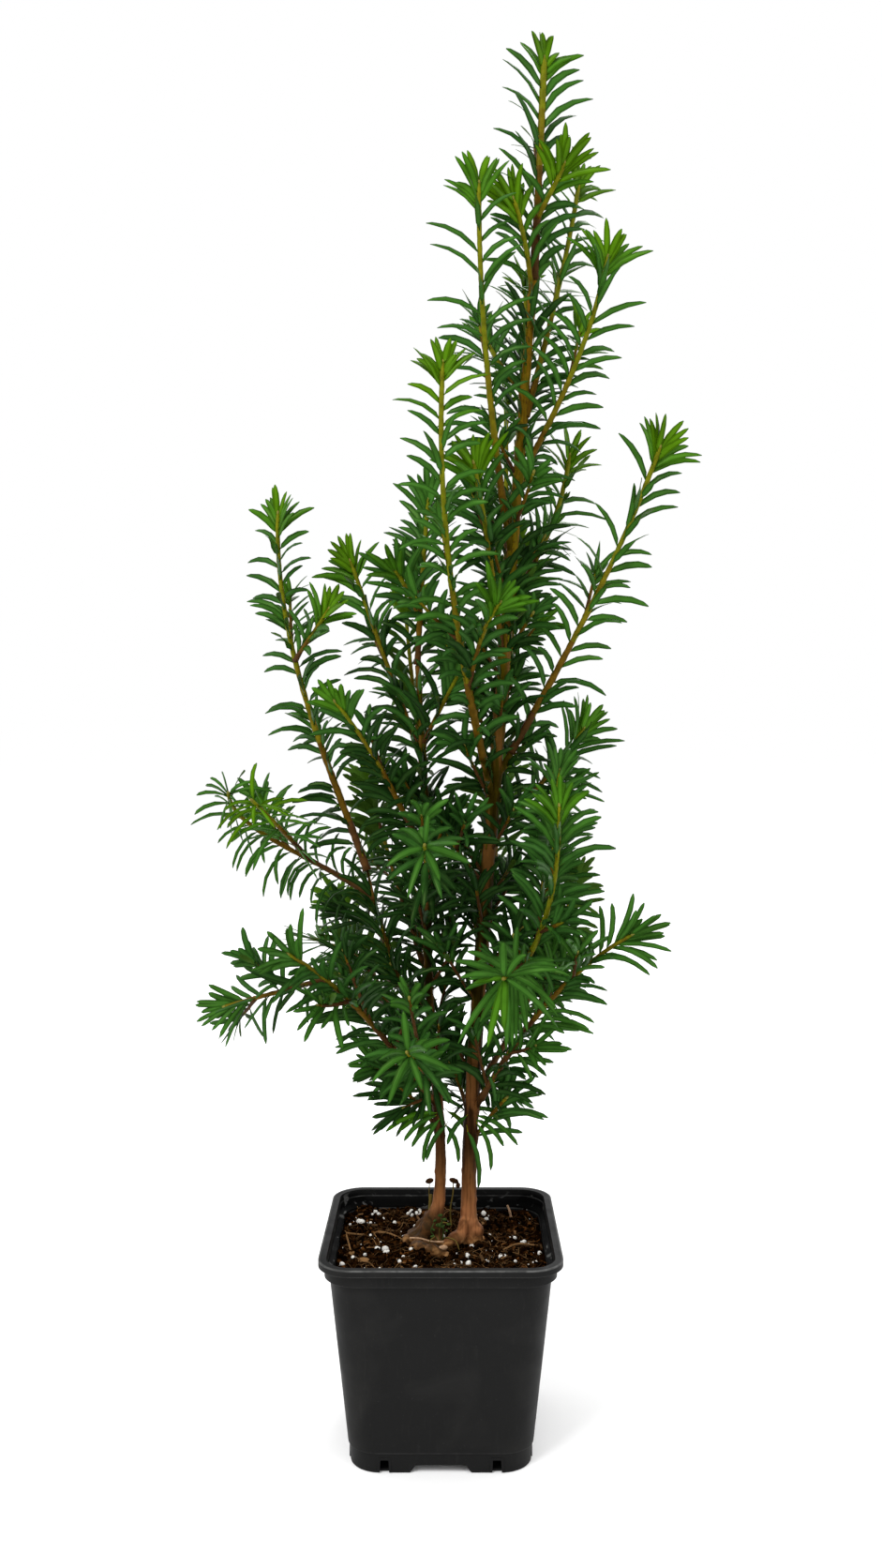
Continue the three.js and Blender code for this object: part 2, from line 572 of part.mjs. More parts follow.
/**
 * One needle of a twig. Upright twigs carry theirs all round, arching out. Level twigs have theirs
 * combed flat to both sides. Near the tip they are shorter and point ahead.
 */
function needleAt(limb, u, angle, random) {
  const root = limb.curve.getPointAt(u);
  const ahead = limb.curve.getTangentAt(u);
  const upright = Math.abs(ahead.z);
  const reference = upright > STEEP ? new THREE.Vector3(1, 0, 0) : UP;
  const side = new THREE.Vector3().crossVectors(ahead, reference).normalize();
  const lift = new THREE.Vector3().crossVectors(side, ahead);
  const comb = COMB * (1 - upright ** 2);
  const outward = side.multiplyScalar(Math.cos(angle));
  outward.addScaledVector(lift, Math.sin(angle) * (1 - comb)).normalize();
  const nearTip = THREE.MathUtils.smoothstep(u, TIP_STRETCH, 1);
  const leanBelow = THREE.MathUtils.lerp(LEAN_LEVEL, LEAN_UPRIGHT, upright);
  const lean = THREE.MathUtils.lerp(leanBelow, LEAN_TIP, nearTip) + LEAN_RANGE * (random() - 0.5);
  const arch = ARCH_UPRIGHT * upright * THREE.MathUtils.lerp(...ARCH_RANGE, random());
  const step = (tilt, distance) => ahead.clone().multiplyScalar(distance * Math.cos(tilt))
    .addScaledVector(outward, distance * Math.sin(tilt));
  const length = NEEDLE_LENGTH * THREE.MathUtils.lerp(1, TIP_NEEDLE_LENGTH, nearTip)
    * THREE.MathUtils.lerp(...LENGTH_RANGE, random());
  const waist = root.clone().add(step(lean, NEEDLE_WAIST * length));
  const tip = waist.clone().add(step(lean + arch, (1 - NEEDLE_WAIST) * length));
  const blade = new THREE.Vector3().subVectors(tip, root).normalize();
  const over = ahead.clone().add(UP).addScaledVector(blade, -blade.dot(ahead) - blade.z).normalize();
  over.applyAxisAngle(blade, TWIST * (random() - 0.5));
  const across = new THREE.Vector3().crossVectors(over, blade);
  const width = NEEDLE_WIDTH * THREE.MathUtils.lerp(1, TIP_NEEDLE_WIDTH, nearTip);
  return { root, waist, tip, across, over, width };
}

function needleStretches({ root, waist, tip, width }, owner) {
  return [stretchOf(root, waist, width / 2, owner), stretchOf(waist, tip, width / 2, owner)];
}

/** The needles of one twig, in a spiral from its base to its tip, less those that would touch. */
function addNeedles(limb, from, owner, random, pieces) {
  const start = from + BARE_START / limb.length;
  const even = Math.max(2, Math.round((1 - start) * limb.length / NEEDLE_SPACING));
  const first = random() * 2 * Math.PI;
  for (let i = 0; i < even + TIP_NEEDLES; i += 1) {
    const u = Math.min(start + (1 - start) * i / even, TIP_NEEDLE_PLACE);
    const needle = needleAt(limb, u, first + i * GOLDEN_ANGLE, random);
    const stretches = needleStretches(needle, owner);
    if (isClear(stretches, owner)) {
      pieces.push(needleSolid(needle));
      taken.push(...stretches);
    }
  }
}

function twigSolid(limb, from) {
  const rings = Math.max(1, Math.round(limb.length * (1 - from) / TWIG_RING_SPACING));
  return solidOf(limbGeometry(limb, { from, sides: TWIG_SIDES, rings }));
}

/** The short side twigs of a shoot, set round it by the golden angle. */
function sideTwigs(limb, from, owner, random) {
  const count = Math.round(limb.length * (1 - from) / SIDE_TWIG_STRETCH);
  const twigs = [];
  for (let i = 0; i < count; i += 1) {
    const low = Math.max(from, SIDE_TWIG_FROM);
    const u = low + (SIDE_TWIG_TO - low) * (i + 0.5) / count;
    const angle = GOLDEN_ANGLE * i + 2 * Math.PI * random();
    const length = THREE.MathUtils.lerp(...SIDE_TWIG_LENGTH, random());
    const ahead = limb.curve.getTangentAt(u);
    const side = new THREE.Vector3().crossVectors(ahead, new THREE.Vector3(1, 0, 0)).normalize();
    side.applyAxisAngle(ahead, angle);
    const way = ahead.multiplyScalar(Math.cos(SIDE_TWIG_ANGLE));
    way.addScaledVector(side, Math.sin(SIDE_TWIG_ANGLE));
    const start = limb.curve.getPointAt(u);
    const points = [0, 0.5, 1].map((s) => start.clone().addScaledVector(way, s * length));
    const twig = limbOf(points, () => TWIG_TIP_RADIUS);
    const stretches = limbStretches(twig, 0, 1, owner);
    if (isClear(stretches, owner)) {
      taken.push(...stretches);
      twigs.push(twig);
    }
  }
  return twigs;
}

/** The carrier of a shoot, a little fatter, to cut the shoot's base clear of it. */
function carrierSolid(shoot) {
  return solidOf(limbGeometry(limbs[shoot.from], {
    sides: BOUGH_SIDES + CARRIER_EXTRA_SIDES, rings: GROW_STEPS, extra: GAP + CARRIER_MARGIN,
  }));
}

/** Where along a shoot its mass starts: past its bare wood, or past the tip that it goes on from. */
function massStart(name) {
  const { wood = 0, at } = SHOOTS[name];
  return wood > 0 || at === 1 ? wood + GAP / limbs[name].length : 0;
}

/** The bare bough at the start of a shoot. */
function makeBough(name) {
  const shoot = SHOOTS[name];
  const limb = limbs[name];
  const rings = Math.max(2, Math.round(limb.length * shoot.wood / TWIG_RING_SPACING));
  const bough = solidOf(limbGeometry(limb, { to: shoot.wood, sides: BOUGH_SIDES, rings }));
  const nodeName = shoot.wood === 1 ? name : `bough_${name}`;
  return meshOf(nodeName, geometryOf(bough.subtract(carrierSolid(shoot))), MATERIALS.bough);
}

/** A mass: a shoot beyond its wood, its own side twigs, and the needles on all of them. */
function makeMass(name, number) {
  const random = seeded(FIRST_SEED + SEED_STEP * number);
  const from = massStart(name);
  const twigs = [{ limb: limbs[name], from }];
  for (const other of Object.keys(SHOOTS)) {
    if (SHOOTS[other].on && massOf(other) === name) {
      twigs.push({ limb: limbs[other], from: 0 });
    }
  }
  for (const limb of sideTwigs(limbs[name], from, name, random)) {
    twigs.push({ limb, from: 0 });
  }
  let wood = wasm.Manifold.union(twigs.map((twig) => twigSolid(twig.limb, twig.from)));
  if (from === 0) {
    wood = wood.subtract(carrierSolid(SHOOTS[name]));
  }
  const needles = [];
  for (const twig of twigs) {
    addNeedles(twig.limb, twig.from, name, random, needles);
  }
  const whole = wasm.Manifold.union([wood, ...needles]);
  return meshOf(`needles_${name}`, geometryOf(whole), MATERIALS.needles);
}

for (const name of Object.keys(STEMS)) {
  limbs[name] = stemLimb(STEMS[name]);
  taken.push(...limbStretches(limbs[name], 0, 1, name));
}
for (const [name, shoot] of Object.entries(SHOOTS)) {
  limbs[name] = shootLimb(shoot, limbs[shoot.from ?? shoot.on]);
}

const yew = new THREE.Group();
yew.add(makePot(), makePottingMix());
const clearOfMain = stemSolid("left_stem").subtract(stemSolid("main_stem", GAP));
yew.add(meshOf("main_stem", geometryOf(stemSolid("main_stem")), MATERIALS.stem));
yew.add(meshOf("left_stem", geometryOf(clearOfMain), MATERIALS.stem));

const masses = [];
for (const [name, shoot] of Object.entries(SHOOTS)) {
  const { on, wood = 0 } = shoot;
  if (wood > 0) {
    yew.add(makeBough(name));
    taken.push(...limbStretches(limbs[name], 0, wood, `bough_${name}`));
  }
  if (on) {
    taken.push(...limbStretches(limbs[name], 0, 1, massOf(name)));
  } else if (wood < 1) {
    taken.push(...limbStretches(limbs[name], massStart(name), 1, name));
    masses.push(name);
  }
}
masses.forEach((name, number) => yew.add(makeMass(name, number)));

export default yew;
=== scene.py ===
"""Dresses a young English yew in its nursery pot: bark, twigs, needles, potting mix and pot.

The plant's own numbers are in millimetres, with +Z up and -Y the front. Meshes are made in metres.
"""

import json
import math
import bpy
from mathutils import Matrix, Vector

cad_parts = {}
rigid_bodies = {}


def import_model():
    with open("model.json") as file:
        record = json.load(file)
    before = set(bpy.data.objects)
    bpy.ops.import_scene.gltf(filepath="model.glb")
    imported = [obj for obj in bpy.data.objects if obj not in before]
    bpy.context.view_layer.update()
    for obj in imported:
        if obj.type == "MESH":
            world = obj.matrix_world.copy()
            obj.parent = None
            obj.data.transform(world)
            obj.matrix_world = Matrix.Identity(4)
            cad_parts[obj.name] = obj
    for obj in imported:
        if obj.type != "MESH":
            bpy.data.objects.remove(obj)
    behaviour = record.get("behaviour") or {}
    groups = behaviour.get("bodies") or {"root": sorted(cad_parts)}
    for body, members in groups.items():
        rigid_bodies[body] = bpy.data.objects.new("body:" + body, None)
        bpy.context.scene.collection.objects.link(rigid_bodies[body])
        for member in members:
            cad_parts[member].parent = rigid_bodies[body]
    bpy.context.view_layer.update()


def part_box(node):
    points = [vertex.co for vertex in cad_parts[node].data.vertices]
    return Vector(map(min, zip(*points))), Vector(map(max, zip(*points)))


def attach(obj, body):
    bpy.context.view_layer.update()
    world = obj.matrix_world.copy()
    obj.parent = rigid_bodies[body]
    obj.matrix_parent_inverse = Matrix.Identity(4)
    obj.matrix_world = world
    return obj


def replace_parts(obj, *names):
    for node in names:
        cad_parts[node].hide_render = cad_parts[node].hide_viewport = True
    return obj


bl_info = {
    "name": "English Yew in a Pot",
    "version": (1, 0, 0),
    "blender": (4, 5, 0),
    "location": "View3D > Sidebar > Yew",
    "description": "Makes the bark, twigs, needles, potting mix and pot of a young English yew",
    "category": "Object",
}

from collections import namedtuple

import bmesh
import bpy
import numpy as np
from bpy.props import FloatProperty, FloatVectorProperty, IntProperty, PointerProperty
from mathutils import Matrix, Vector, noise
from mathutils.kdtree import KDTree

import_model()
POT_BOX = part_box("pot")

MM = 0.001
UP = np.array([0.0, 0.0, 1.0])
FRONT = np.array([0.0, -1.0, 0.0])
GOLDEN_ANGLE = math.radians(137.5)

# Pot, in millimetres: half widths of its outer faces and the heights where they change.
BAND_HALF = 52.4
BODY_TOP_HALF = 50.3
BODY_FOOT_HALF = 42.3
SKIRT_HALF = 41.2
SKIRT_TOP = 8.6
SKIRT_STEP = 9.0
BODY_TOP = 86.7
LIP_HEIGHT = 3.0
FOOT_CORNER = 14.0
RIM_FACE = 3.6
WALL = 1.4
LEDGE_HEIGHT = 89.5
FLOOR_TOP = 7.0
FLOOR_UNDER = 5.0
CROSS_HALF = 22.0
SLOT_OFFSET = 25.2
SLOT_WIDTH = 4.4
SLOT_HEIGHT = 5.6
NOTCH_FOOT = 27.0
NOTCH_TOP = 22.5
NOTCH_HEIGHT = 3.3
SHARP_EDGE = math.radians(28)
# Edges with pale lines, painted highlights broken up like wear: the height of each, half the width of its
# line, how pale it is and whether only its outer face has the line.
HIGHLIT_WORN_EDGES = ((95.3, 0.6, 1.5, True), (92.4, 0.35, 1, False), (86.9, 0.4, 1, False), (8.8, 0.4, 1, False))

# Potting mix: the tilt and lumps of its top, as on the solid under it, its corners, the height to
# which its walls stay as wide as its top, and the faces across its top.
MIX_TILT = (-0.03, 0.02)
MIX_LUMP = 1.1
MIX_CORNER = 14.0
MIX_WAIST = 76
MIX_FACES = 150

# Stems: the line of each from its flat cut, its radii, its flare, its root ridges, each with its turn
# in degrees, how far it reaches and how high up the stem it starts, and the top and the brightness of
# its root crown's own colours.
Stem = namedtuple("Stem", "line radius flare flare_height roots root_top root_light")
STEMS = {
    "main_stem": Stem(
        [(13, 6, 86.3), (13.5, 5.5, 130), (20, 3, 237), (30, 1, 367), (38.5, 0, 478), (44, 0, 546)],
        (3.6, 3.3, 2.9, 1.9), 1.8, 7, [(80, 8, 7), (20, 7, 7)], 93, 1.7,
    ),
    "left_stem": Stem(
        [(-3.5, 5, 86.3), (-0.5, 5, 117), (-1, 6, 142), (-6.5, 9, 215), (-6.5, 8, 270), (-11.5, 4, 363)],
        (2.9, 2.2, 1.6, 1.3), 1.8, 8, [(120, 9, 8), (60, 7, 7)], 105, 1.0,
    ),
}
ROOT_RADIUS = (3.2, 2.2)
# The roots that show at the front of each stem's foot: the line and the radii of each.
FRONT_ROOTS = {
    "main_stem": [([(12.5, 4.5, 97), (9.5, 2, 91), (4.5, -1.5, 88.6), (0, -3.5, 87)], (3.3, 2.5)),
                  ([(14.5, 5, 96), (17, 5, 91), (17, 6, 86)], (2.7, 2.4))],
    "left_stem": [([(-2.5, 4.5, 103), (-6, 4, 97), (-11, 3.5, 91), (-16.5, 3, 87)], (2.7, 2.2)),
                  ([(-4, 4, 98), (-7.5, 1.5, 92), (-11.5, 0, 87.5)], (3.4, 2.8)),
                  ([(-5, 7, 98), (-10, 9, 92), (-15, 9, 87)], (3.0, 2.4)),
                  ([(-17, 2.5, 87.8), (-10.5, -2, 89.4), (-4.5, -4.5, 89), (1, -4, 88.6)], (1.5, 1.2)),
                  ([(-13, -2, 86.3), (-8.5, -8, 87.6), (-3, -11.5, 87.4), (3, -12.5, 85.5)], (3.0, 2.5))],
}
# Knots and swellings of the root crown: the place of each, how far it stands out and its spread.
KNOTS = {
    "main_stem": [(18, 3, 91, 0.8, 3.5), (9, 0, 90, 0.7, 2.6), (12, 10, 95, 0.5, 4)],
    "left_stem": [(-17, 2.5, 88, 1.3, 2.0), (-9, -8, 89, 0.9, 1.8), (-4, -12, 89, 1.0, 1.6),
                  (-12, 6, 88, 1.0, 2.4), (-6, 2, 95, 0.5, 3)],
}
# Faces round a stem, round a bough and round each kind of root.
STEM_SIDES = 24
BOUGH_SIDES = 16
RIDGE_SIDES = 12
ROOT_SIDES = 14
# How high a collar under a shoot and the scar of an old needle stand out, their spreads, and the
# length of stem for each scar.
COLLAR = (0.75, 2.2)
SCAR_HEIGHTS = (0.15, 0.4)
SCAR_SPREAD = 0.8
SCAR_GAP = 4.2

# Colours of bark from foot to tip: how far up each is, its name and how bright it is there. The dim stretch
# between 0.1 and 0.6 is painted shade of the crown on the stem.
STEM_COLOURS = (
    (0.0, "bark_foot", 1.35), (0.035, "bark_foot", 1.65), (0.065, "bark", 1.25), (0.1, "bark", 0.42),
    (0.15, "bark", 0.2), (0.22, "bark_olive", 0.28), (0.4, "bark_olive", 0.3), (0.6, "bark_olive", 0.5),
    (0.69, "bark_olive", 0.95), (1.0, "bark_orange", 1),
)
BOUGH_COLOURS = ((0.0, "bark", 0.3), (1.0, "bark_olive", 0.4))
# The heights from foot to tip that those colours run over.
STEM_SPAN = (84, 546)
BOUGH_SPAN = (140, 280)
# The two heights between which each pattern of the bark, painted shadows and painted light among them, comes
# in, and how soft the roots' top edge is.
SHADOWS_IN = (360, 280)
GLOW_IN = ((125, 160), (460, 400))
FLAKES_IN = (138, 100)
YOUNG_IN = (360, 440)
PALE_ROOT_IN = (91.5, 88.5)
SHEEN_IN = (114, 94)
ROOT_FADE = 6

# Shoots: what each grows from and how far along, its turn and rise in degrees at its start, how much
# they change by its tip, its length and the part of it that is a bare bough. A side twig is part of
# its parent's mass.
Shoot = namedtuple("Shoot", "parent at turn rise curl swing length wood side_twig", defaults=(0, False))
SHOOTS = {
    "left_bough": Shoot("left_stem", 0.29, -170, 68, 10, 5, 104, 1),
    "left_tall": Shoot("left_bough", 1, 155, 67, 25, 45, 178),
    "tall_twig": Shoot("left_tall", 0.6, -60, 34, 15, 20, 37, 0, True),
    "left_arch": Shoot("left_bough", 0.86, 140, 28, 5, 135, 106),
    "arch_twig": Shoot("left_arch", 0.37, -105, 27, 0, -5, 70, 0, True),
    "left_hidden": Shoot("left_bough", 0.66, 120, 23, -5, 40, 37),
    "low_left_back": Shoot("left_bough", 0.42, 125, 16, -10, 15, 75),
    "left_top": Shoot("left_stem", 1, -60, 85, 0, 45, 79),
    "left_top_twig": Shoot("left_top", 0.28, -120, 50, -20, 0, 31, 0, True),
    "leader": Shoot("main_stem", 1, 0, 87, 0, 45, 107),
    "top_right": Shoot("leader", 0.27, -60, 41, 15, 15, 29, 0, True),
    "top_left": Shoot("main_stem", 0.98, -105, 71, -5, -40, 46),
    "right_inner": Shoot("main_stem", 0.84, 5, 75, -5, 60, 134, 0.15),
    "right_outer": Shoot("main_stem", 0.79, -15, 60, 15, -30, 111, 0.15),
    "left_upper": Shoot("main_stem", 0.71, -120, 71, 20, 10, 172, 0.25),
    "right_small": Shoot("main_stem", 0.66, 40, 51, 25, 15, 93),
    "inner_front": Shoot("main_stem", 0.6, -115, 73, -20, 5, 99),
    "left_mid": Shoot("main_stem", 0.46, -115, 60, 40, 5, 209, 0.25),
    "mid_front": Shoot("left_mid", 0.29, -70, 59, -30, 10, 50, 0, True),
    "right_long": Shoot("main_stem", 0.48, -10, 60, 10, -5, 175, 0.2),
    "right_mid": Shoot("main_stem", 0.43, 30, 35, 20, 0, 73),
    "right_back": Shoot("main_stem", 0.28, 5, 43, 85, -115, 114),
    "right_front": Shoot("main_stem", 0.23, -50, 39, 55, -25, 132, 0.2),
    "front_right": Shoot("right_front", 0.37, -100, 5, 0, 0, 69, 0, True),
    "low_right": Shoot("main_stem", 0.13, -45, 56, -25, 20, 129, 0.2),
    "front_left": Shoot("left_stem", 0.62, -90, 16, 0, 0, 97),
    "low_front": Shoot("left_stem", 0.27, -97, 22, 0, 0, 100),
    "low_left": Shoot("left_stem", 0.23, -130, 47, -20, 5, 136, 0.2),
    "low_left_side": Shoot("low_left", 0.8, 165, -17, 0, 0, 49, 0, True),
    "inner_left": Shoot("left_stem", 0.65, -140, 61, -15, -5, 95),
    "left_slim": Shoot("left_stem", 0.83, 170, 69, 0, -15, 105),
    "back_low_left": Shoot("left_stem", 0.2, 118, 42, 5, 10, 138, 0.2),
    "back_low_right": Shoot("main_stem", 0.15, 50, 38, 10, 15, 144, 0.2),
    "back_mid_right": Shoot("main_stem", 0.3, 78, 40, 10, 10, 128, 0.2),
    "back_mid_left": Shoot("left_stem", 0.45, 115, 48, 15, 5, 118, 0.2),
    "back_upper_right": Shoot("main_stem", 0.46, 72, 60, 15, 10, 140, 0.2),
    "back_upper_left": Shoot("left_stem", 0.72, 98, 56, 20, 10, 124, 0.2),
    "back_high": Shoot("main_stem", 0.64, 88, 64, 15, 0, 132, 0.2),
    "back_top": Shoot("main_stem", 0.82, 82, 66, 10, 0, 98),
    "spur_left_low": Shoot("left_stem", 0.5, 20, 45, 10, 20, 46),
    "spur_left_high": Shoot("left_stem", 0.86, -60, 48, 10, 20, 42),
    "spur_main_low": Shoot("main_stem", 0.37, 222, 42, 10, 20, 48),
    "spur_main_mid": Shoot("main_stem", 0.55, 190, 50, 10, -20, 44),
    "spur_main_high": Shoot("main_stem", 0.88, 150, 50, 10, -20, 40),
    "foot_left": Shoot("left_stem", 0.19, 165, 50, -10, 20, 30),
    "foot_right": Shoot("main_stem", 0.1, -8, 56, -10, -20, 30),
    "foot_back": Shoot("main_stem", 0.12, 105, 48, -5, 20, 34),
}
ROSETTES = ("front_right", "front_left", "low_front")
ARCHING = ("left_arch", "arch_twig")
# Open shoots with no finer side twigs than the solid's own.
OPEN = ("left_tall", "left_slim", "inner_left", "back_upper_left", "low_left_back", "right_long",
        "right_small", "foot_left", "foot_right", "back_low_right")
GROW_STEPS = 24

# What sets a shoot apart from those round it: how much darker its needles are, their length, how many
# degrees further they lean from the twig, the gap between them, how much browner the twig is, the
# length of the plume at its tip, the width and bow of its needles, the length of those on its side
# twigs, and its twig's least radius in millimetres where it is stouter than others.
Trim = namedtuple("Trim", "shade length lean gap axis plume broad side stout",
                  defaults=(0, 1, 0, 1, 0, 1, 1, 0.86, 0))
TRIMS = {
    "leader": Trim(shade=-0.02, length=1.14, lean=-12, gap=0.98, axis=0.45, plume=0.7, broad=1.15, side=0.55,
                   stout=1.7),
    "left_tall": Trim(length=0.84, lean=10, gap=1.08, axis=-0.15),
    "tall_twig": Trim(length=0.85),
    "left_arch": Trim(shade=-0.14, length=0.86, gap=0.95),
    "arch_twig": Trim(shade=-0.16, length=0.86, gap=1.1),
    "left_hidden": Trim(shade=0.1, length=0.8),
    "left_upper": Trim(gap=1.2),
    "left_mid": Trim(length=0.86, lean=6, axis=-0.15, plume=0.9),
    "left_slim": Trim(length=0.9, gap=1.1),
    "inner_left": Trim(shade=0.1, length=0.82, gap=1.15),
    "mid_front": Trim(shade=0.08),
    "front_left": Trim(shade=0.06, length=0.72, gap=1.6),
    "low_front": Trim(shade=-0.08, length=0.73, gap=1.35),
    "low_left": Trim(length=0.88),
    "low_left_side": Trim(length=0.78, lean=8),
    "right_long": Trim(gap=1.3),
    "right_front": Trim(shade=0.12, axis=-0.5, plume=0.8),
    "front_right": Trim(shade=-0.08, gap=1.1),
    "right_back": Trim(shade=0.12, length=0.85),
    "low_right": Trim(shade=-0.12),
    "back_low_right": Trim(length=0.85),
    "back_upper_left": Trim(gap=1.2),
    "foot_left": Trim(gap=1.7),
    "foot_right": Trim(gap=2.0),
    "foot_back": Trim(gap=1.3),
}

# Twigs: their radii, and the side twigs that the solids have too.
TWIG_TIP_RADIUS = 0.65
TWIG_BASE_RADIUS = 0.8
RADIUS_PER_LENGTH = 0.0045
TWIG_SIDES = 8
TWIG_RING_SPACING = 2.2
TWIG_RIBS = 0.07
# A bud's half sizes, and how far past the end of its twig its middle stands.
BUD_HALF = (0.8, 0.8, 1.5)
BUD_STEP = 0.6
SIDE_TWIG_STRETCH = 105
SIDE_TWIG_LENGTH = (22, 34)
SIDE_TWIG_ANGLE = math.radians(42)
SIDE_TWIG_FROM = 0.15
SIDE_TWIG_TO = 0.8
SIDE_TWIG_LIFT = 0.15
SHORT_TWIG_RADIUS = (0.75, 0.5)
# Finer side twigs: the height over which there are none, the gaps between them by height, and lengths.
FINE_TWIG_TOP = 480
FINE_TWIG_GAPS = ((240, 400), (24, 110))
FINE_TWIG_LENGTH = (15, 27)
# Short twigs on the stems themselves: the heights between which they stand, the gap and the lengths.
STEM_TWIGS = {"main_stem": (165, 460), "left_stem": (160, 300)}
STEM_TWIG_GAP = 12
STEM_TWIG_LENGTH = (16, 32)
# The ages at which a twig turns from green to olive, to orange and to brown.
TWIG_AGE_STEPS = (0.16, 0.42, 0.68)
# Short hanging twigs: how much they sag, and for each the stem and how far along it, the turn and rise
# in degrees and the length.
HANGING_SAG = 0.2
HANGING = (
    ("left_stem", 0.25, 190, -5, 16), ("left_stem", 0.27, 100, -30, 12),
    ("main_stem", 0.17, 0, -10, 15), ("main_stem", 0.15, 90, -25, 10),
)
# Single long needles that droop from the lower stems, each from its root to its tip.
DROOPING = (
    ((-2.5, 4, 148), (-26, -3, 141.5)), ((-3, 4, 146.5), (-17.5, -3, 137)), ((-1, 3.5, 145), (-8.5, 0, 126)),
    ((2, 3, 142), (-7, -3, 128)), ((2, 4.5, 142), (8, 3, 125)), ((-3, 5, 147), (-20, 2, 140)),
    ((-2, 5, 143), (-14, 4, 132)), ((17, 3, 143), (23.5, 1, 122)), ((12.5, 0.5, 140), (17.5, -3, 115)),
    ((17, 3, 147), (36, -3, 135)), ((16.5, 3, 145), (29.5, 0, 133.5)), ((12, 2, 147), (3, -2, 135)),
    ((16, 5, 150), (33, 6, 143)), ((3, 6, 148), (14, 14, 132)), ((-3, 8, 146), (-12, 18, 132)),
)
FIRST_SEED = 1000
SEED_STEP = 97

# A needle's stations from the ridge on the twig to its tip: the place along the blade, its half width
# and its half thickness, as shares of the blade's own, and how much wider a blunt needle is there.
NEEDLE_STATIONS = (
    (-0.13, 0.2, 0.5, 0), (0.0, 0.42, 1.2, -0.1), (0.14, 0.76, 0.95, 0.08), (0.4, 1.0, 0.9, 0),
    (0.68, 0.86, 0.85, 0.12), (0.9, 0.46, 0.7, 0.32), (1.0, 0.1, 0.3, 0.12),
)
NEEDLE_HALF_THICKNESS = 0.26
# The six corners of a needle across: flat edges, a raised rib above and a keel below.
NEEDLE_SECTION = ((1.0, -0.2), (0.5, 0.45), (0.0, 1.0), (-0.5, 0.45), (-1.0, -0.2), (0.0, -0.9))
NEEDLE_RIM_CORNERS = (0, 4)
NEEDLE_BLADE_FACES = (0, 3)
NEEDLE_RIB_FACES = (1, 2)
RIDGE_STATIONS = 1
NEEDLES_IN_A_PIECE = 2200
# The darker groups deep in the crown are partly painted shade.
NEEDLE_AGES = ("fresh", "young", "summer", "old", "deep")
NEEDLE_AGE_STEPS = (0.06, 0.2, 0.38, 0.58)
# No needle's tip comes lower than this, just over the pot's lip.
NEEDLE_FLOOR = 96

# How each kind of twig carries its needles: the bare wood at its base, the number in the plume at its
# tip, how far back the plume's habit reaches, the lean of its last needle in degrees, how much more
# those behind it lean and within what distance, the share of the combing they keep, how unevenly they
# lean, and how much younger the tip is.
Habit = namedtuple("Habit", "bare tips tip_reach tip_lean tip_open tip_run comb uneven youth")
HABITS = {
    "ranked": Habit(4, 12, 26, 2, 26, 12, 0.5, 0.09, 0.34),
    "back": Habit(4, 12, 26, 8, 30, 13, 1, 0.15, 0.34),
    "arching": Habit(4, 7, 26, 34, 30, 13, 1, 0.15, 0.34),
    "rosette": Habit(4, 5, 26, 78, 0, 13, 0.2, 0.15, 0.2),
    "side": Habit(2.5, 6, 14, 8, 30, 13, 1, 0.15, 0.12),
}
# The stretches of the stems and of the long bough that carry needles of their own, by height.
NEEDLED_WOOD = {"main_stem": (230, 546), "left_stem": (180, 363), "left_bough": (100, 300)}
# The crown from its foot up: heights, its middle from side to side and its reach there.
CROWN_MIDDLE = ((120, 250, 400, 550, 660), (2, -5, 10, 38, 45))
CROWN_REACH = ((110, 200, 300, 400, 500, 660), (18, 85, 85, 70, 45, 12))
CROWN_AXIS = (10, 5, 0)
# How far behind the middle a spray turns from the front to the back.
FACING_TURN = (32, 72)


def seeded(seed):
    """A repeatable run of numbers from 0 to 1, the same as the solids grow by."""
    state = seed
    while True:
        state = (state * 16807) % 2147483647
        yield state / 2147483647


def unit(vectors):
    """The vectors, each at length 1."""
    return vectors / np.maximum(np.linalg.norm(vectors, axis=-1, keepdims=True), 1e-9)


def dot(a, b):
    """Row by row scalar product, kept as a column."""
    return np.sum(a * b, axis=-1, keepdims=True)


def smoothstep(value, low, high):
    """0 below low, 1 above high and an even swing between."""
    t = np.clip((value - low) / (high - low), 0, 1)
    return t * t * (3 - 2 * t)


class Limb:
    """A line with a radius at each place along it, from 0 at its base to 1 at its tip."""

    def __init__(self, points, radii):
        self.points = np.asarray(points, float)
        steps = np.linalg.norm(np.diff(self.points, axis=0), axis=1)
        self.run = np.concatenate([[0.0], np.cumsum(steps)])
        self.length = self.run[-1]
        self.radii = radii

    def at(self, places):
        """The points at these places."""
        run = np.clip(places, 0, 1) * self.length
        return np.column_stack([np.interp(run, self.run, self.points[:, axis]) for axis in range(3)])

    def ahead(self, places):
        """The directions in which the limb runs at these places."""
        step = 2.0 / self.length
        return unit(self.at(np.asarray(places) + step) - self.at(np.asarray(places) - step))

    def radius(self, places):
        """The radii at these places."""
        return np.interp(places, np.linspace(0, 1, len(self.radii)), self.radii)


